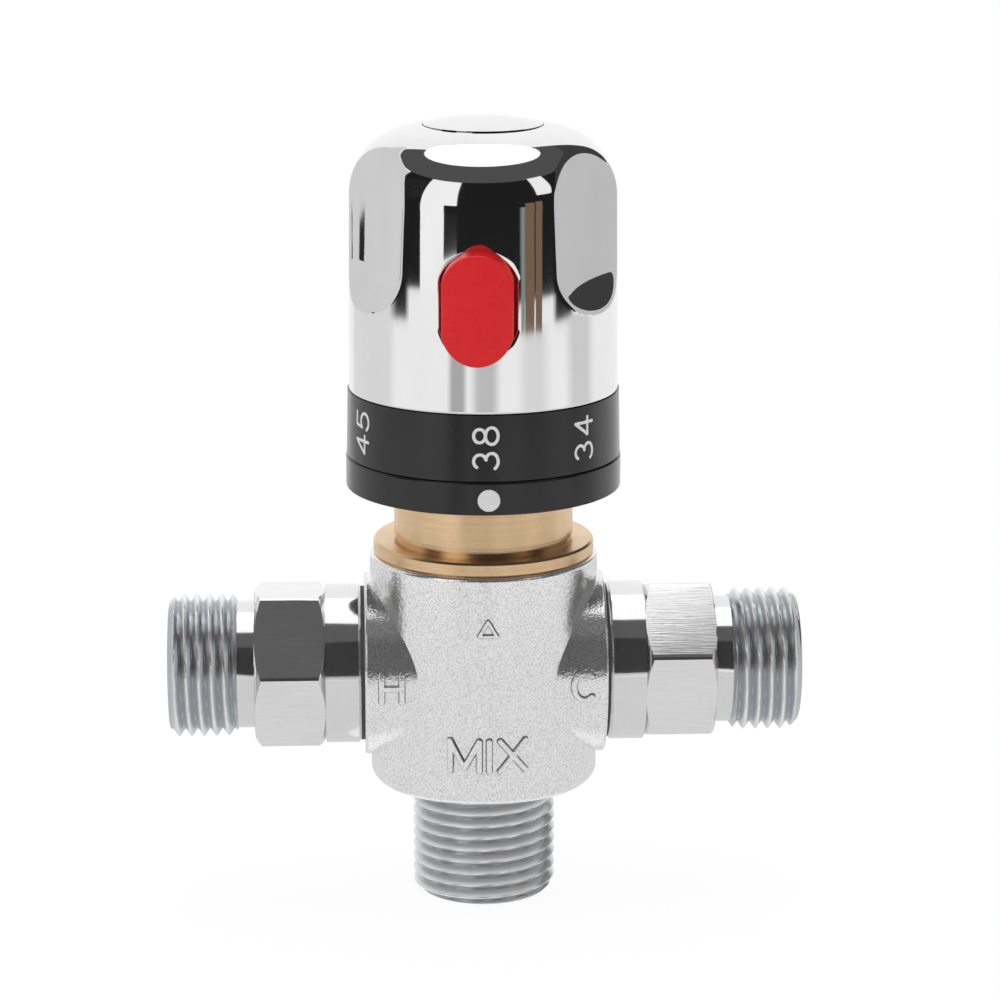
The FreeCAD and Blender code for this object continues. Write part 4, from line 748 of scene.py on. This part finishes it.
knob_turned = -4.3
cover_foot, shoulder_top = 75.9 * mm, 113.5 * mm
foot_radius, crown_radius = 19.42 * mm, 19.03 * mm
lean = (foot_radius - crown_radius) / (shoulder_top - cover_foot)
shoulder_round = 9.5 * mm
shoulder_foot = shoulder_top - shoulder_round
shoulder_end = 80
wall_rows, shoulder_rows = 74, 38
recess_edge = 113.90 * mm
spigot_bore = 17.4 * mm
recess_radius, recess_floor = 8.62 * mm, 110.5 * mm
recess_round = 0.08 * mm
screw_hole = 2.25 * mm
edge_round = 0.2 * mm
grip_middles = (60, 180, 300)
grip_axis = 50.5 * mm
grip_full_depth = 95.35 * mm
grip_floor = 16.5 * mm
grip_lean = 0.8 / 20.15
grip_sweep = 8.0 * mm
grip_rim = 0.6 * mm


def quarter(centre, radius, start, end, steps):
    """Points on part of a circle in a profile of radius and height, between two angles."""
    angle = np.radians(np.linspace(start, end, steps))
    return np.stack([centre[0] + radius * np.cos(angle), centre[1] + radius * np.sin(angle)], 1)


def straight(start, end, steps):
    """Evenly spaced points on a line, without its ends."""
    share = np.linspace(0, 1, steps + 2)[1:-1, None]
    return np.array(start) * (1 - share) + np.array(end) * share


def gripped(azimuth, radius, height):
    """The radius left after the grips are cut. At each height a grip is a round groove about an
    upright axis outside the knob; its floor leans inwards and sweeps out at its foot. The
    smaller of the skin's radius and the groove's counts, rounded off where the two meet."""
    below = np.clip(grip_full_depth - height, 0, grip_sweep)
    floor = grip_floor - grip_lean * np.maximum(height - grip_full_depth, 0)
    floor = floor + grip_sweep - np.sqrt(grip_sweep ** 2 - below ** 2)
    for middle in grip_middles:
        away = azimuth - math.radians(middle)
        inside = (grip_axis - floor) ** 2 - (grip_axis * np.sin(away)) ** 2
        groove = grip_axis * np.cos(away) - np.sqrt(np.maximum(inside, 0))
        groove = np.where((np.cos(away) > 0.7) & (inside > 0), groove, 1.0)
        blend = np.clip(1 - np.abs(radius - groove) / grip_rim, 0, 1)
        radius = np.minimum(radius, groove) - grip_rim * blend ** 2 / 4
    return radius


def wall_radius(height):
    """The leaning wall's radius, which shrinks evenly from the foot upwards."""
    return foot_radius - lean * (height - cover_foot)


def knob_places(azimuth, radius, height):
    """Points round the knob's axis, from a direction measured from the button."""
    angle = azimuth + math.radians(knob_turned)
    return np.stack([radius * np.sin(angle), -radius * np.cos(angle), height], axis=-1)


window_middle = 91.35 * mm
window_half_width, window_half_straight, window_end_radius = 5.35 * mm, 3.6 * mm, 5.7 * mm
window_round = 0.3 * mm
window_depth = 2.4 * mm
half_block, block_foot, block_top = 25, 81.6 * mm, 101.2 * mm


def window_reach(direction, margin):
    """How far the button's window, grown by a margin, reaches from its middle in each direction:
    to its straight side or to the round of its end, whichever bounds it there."""
    half, round_end = window_half_width + margin, window_end_radius + margin
    centre = window_half_straight - math.sqrt(round_end ** 2 - half ** 2)
    across, up = np.cos(direction), np.abs(np.sin(direction))
    side = half / np.maximum(np.abs(across), 1e-9)
    end = centre * up + np.sqrt(np.maximum(round_end ** 2 - (centre * across) ** 2, 0))
    return np.where(side * up < window_half_straight, side, end)


def knob_skin():
    """The cover's outer skin. A profile of radius and height runs from under the foot up the
    leaning wall, over the round shoulder and down into the cap's recess; it is carried round
    the axis and the grips are cut from it. A block of cells at the front is left out, and rings
    of points close in from the block's edge to the window, over its round rim and inwards."""
    wall_top = wall_radius(shoulder_foot)
    profile = np.concatenate([
        [(spigot_bore, cover_foot), (foot_radius - edge_round, cover_foot)],
        quarter((foot_radius - edge_round, cover_foot + edge_round), edge_round, -60, 0, 3),
        straight((foot_radius, cover_foot + edge_round), (wall_top, shoulder_foot), wall_rows),
        quarter((wall_top - shoulder_round, shoulder_foot), shoulder_round, 0, shoulder_end,
                shoulder_rows),
        quarter((recess_radius + recess_round, recess_edge - recess_round), recess_round,
                shoulder_end, 180, 4),
        [(recess_radius, recess_floor), (screw_hole, recess_floor)]])
    columns = 360
    azimuth = np.radians(np.arange(columns) - columns // 2)[None, :]
    height = profile[:, 1:] + 0 * azimuth
    radius = gripped(azimuth, profile[:, :1] + 0 * azimuth, height)
    points = knob_places(azimuth, radius, height).reshape(-1, 3)

    index = np.arange(points.shape[0]).reshape(height.shape)
    left, right = columns // 2 - half_block, columns // 2 + half_block
    low = int(np.argmax(profile[:, 1] > block_foot))
    high = int(np.argmax(profile[:, 1] > block_top))
    kept = np.ones(height.shape, bool)
    kept[low:high, left:right] = False
    kept[-1] = False
    quads = grid_quads(*height.shape, True, True).reshape(*height.shape, 4)[kept]

    edge = np.concatenate([index[low, left:right], index[low:high, right],
                           index[high, right:left:-1], index[high:low:-1, left]])
    flat = np.stack([azimuth[0, edge % columns], profile[edge // columns, 1]], 1)
    direction = np.arctan2(flat[:, 1] - window_middle, flat[:, 0] * foot_radius)
    heading = math.radians(knob_turned)
    inwards = np.array([-math.sin(heading), math.cos(heading), 0])
    rings = [edge]
    ring_points = [points]
    count = points.shape[0]
    rim = [(window_round, 0.0, share) for share in np.linspace(0.1, 1.0, 10)]
    rim += [(window_round * (1 - math.sin(turn)), window_round * (1 - math.cos(turn)), 1.0)
            for turn in np.radians((18, 36, 54, 72, 90))]
    rim += [(0.0, window_depth, 1.0)]
    for margin, depth, share in rim:
        reach = window_reach(direction, margin)
        across, level = reach * np.cos(direction), window_middle + reach * np.sin(direction)
        turned = np.arcsin(across / wall_radius(level))
        turned = turned * share + flat[:, 0] * (1 - share)
        level = level * share + flat[:, 1] * (1 - share)
        rings.append(count + np.arange(len(edge)))
        ring_points.append(knob_places(turned, wall_radius(level), level) + depth * inwards)
        count += len(edge)
    for outer, inner in zip(rings, rings[1:]):
        quads = np.concatenate([quads, np.stack(
            [outer, np.roll(outer, -1), np.roll(inner, -1), inner], 1)])
    used, quads = np.unique(quads, return_inverse=True)
    return np.concatenate(ring_points)[used], quads.reshape(-1, 4)


mirror_plate = plated_plastic()
cover = mesh_object("knob_cover", *knob_skin())
cover.data.set_sharp_from_angle(angle=math.radians(40))
moulded_wall = cover.modifiers.new("moulded_wall", "SOLIDIFY")
moulded_wall.thickness = 0.8 * mm
moulded_wall.offset = -1.0
dress_piece(cover, "knob", mirror_plate)
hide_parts("knob_shell")

cap_middle, cap_rim, raised_rim = 115.0 * mm, 113.62 * mm, 114.0 * mm
cap = merged_copy("knob_cap", "top_cap")
points = read_points(cap)
flatter = (cap_middle - raised_rim) / (cap_middle - cap_rim)
on_crown = points[:, 2] > cap_rim - 5 * slack
points[on_crown, 2] = cap_middle - flatter * (cap_middle - points[on_crown, 2])
write_points(cap, points)
dress_piece(cap, "knob", mirror_plate)
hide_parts("knob_cap")


# ---------------------------------------------------------------------------------------------
# Safety button
# Red moulded plastic, glossy, in the knob's window, with a rounded rim to its face. It is
# pressed in to turn the knob past 38.

def red_plastic():
    """Glossy red, a little uneven in its pigment and polish."""
    material, wire = empty_material("red_plastic")
    place = place_of(wire)
    pigment = noise(wire, place, 500.0, 3.0)
    colour = between(wire, pigment, (0.74, 0.010, 0.015, 1.0), (0.82, 0.016, 0.021, 1.0))
    finish_surface(wire, colour, pigment * 0.12 + 0.22, pigment, 0.00001,
                   constants={"Specular IOR Level": 0.3})
    return material


narrower = 0.075
button = merged_copy("push_button", "red_button")
points = read_points(button)
heading = math.radians(knob_turned)
sideways = np.array([math.cos(heading), math.sin(heading)])
aside = points[:, :2] @ sideways
points[:, :2] -= narrower * aside[:, None] * sideways
write_points(button, points)
rim = button.modifiers.new("rounded_rim", "BEVEL")
rim.width = 0.35 * mm
rim.segments = 3
rim.angle_limit = math.radians(50)
before_shading = 0
button.modifiers.move(1, before_shading)
dress_piece(button, "button", red_plastic())
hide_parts("push_button")


# ---------------------------------------------------------------------------------------------
# Inner brass
# Turned brass that the water meets: the spindle, the nut on it, the cold seat and the capsule.

dress_nodes(("spindle", "regulating_nut", "upper_seat_ring", "spring_cup", "wax_element"),
            brass_finish)


# ---------------------------------------------------------------------------------------------
# Springs, clips and strainers
# Drawn and pressed stainless steel: the springs, snap rings, strainers, screw and pin.

def drawn_steel():
    """Bright drawn steel with faint draw lines and dull patches."""
    material, wire = empty_material("drawn_steel")
    place = place_of(wire)
    draw = noise(wire, stretched(wire, place, (900.0, 900.0, 4000.0)), 1.0, 3.0)
    dull = noise(wire, place, 350.0, 2.0)
    colour = between(wire, dull, grey(0.42), grey(0.62))
    finish_surface(wire, colour, dull * 0.2 + 0.16, draw, 0.00002, metallic=1.0)
    return material


dress_nodes((
    "hot_strainer", "cold_strainer", "hot_check_spring", "cold_check_spring", "return_spring",
    "overtravel_spring", "button_spring", "cup_clip", "spindle_clip", "knob_screw", "element_pin",
), drawn_steel())


# ---------------------------------------------------------------------------------------------
# Inner mouldings
# Water-grade plastic: the white cartridge sleeve, shuttle and check valves, and the grey hub
# under the knob.

def moulded(name, low, high):
    """Satin moulded plastic between two shades, with flow marks and a fine skin."""
    material, wire = empty_material(name)
    place = place_of(wire)
    skin = noise(wire, place, 2200.0, 2.0)
    flow = noise(wire, stretched(wire, place, (160.0, 160.0, 60.0)), 1.0, 3.0)
    finish_surface(wire, between(wire, flow, grey(low), grey(high)), flow * 0.15 + 0.33,
                   skin, 0.00002)
    return material


dress_nodes((
    "cartridge_sleeve", "shuttle", "hot_check_cage", "cold_check_cage", "hot_check_poppet",
    "cold_check_poppet",
), moulded("white_moulding", 0.66, 0.80))
dress_nodes(("knob_hub",), moulded("grey_moulding", 0.20, 0.30))
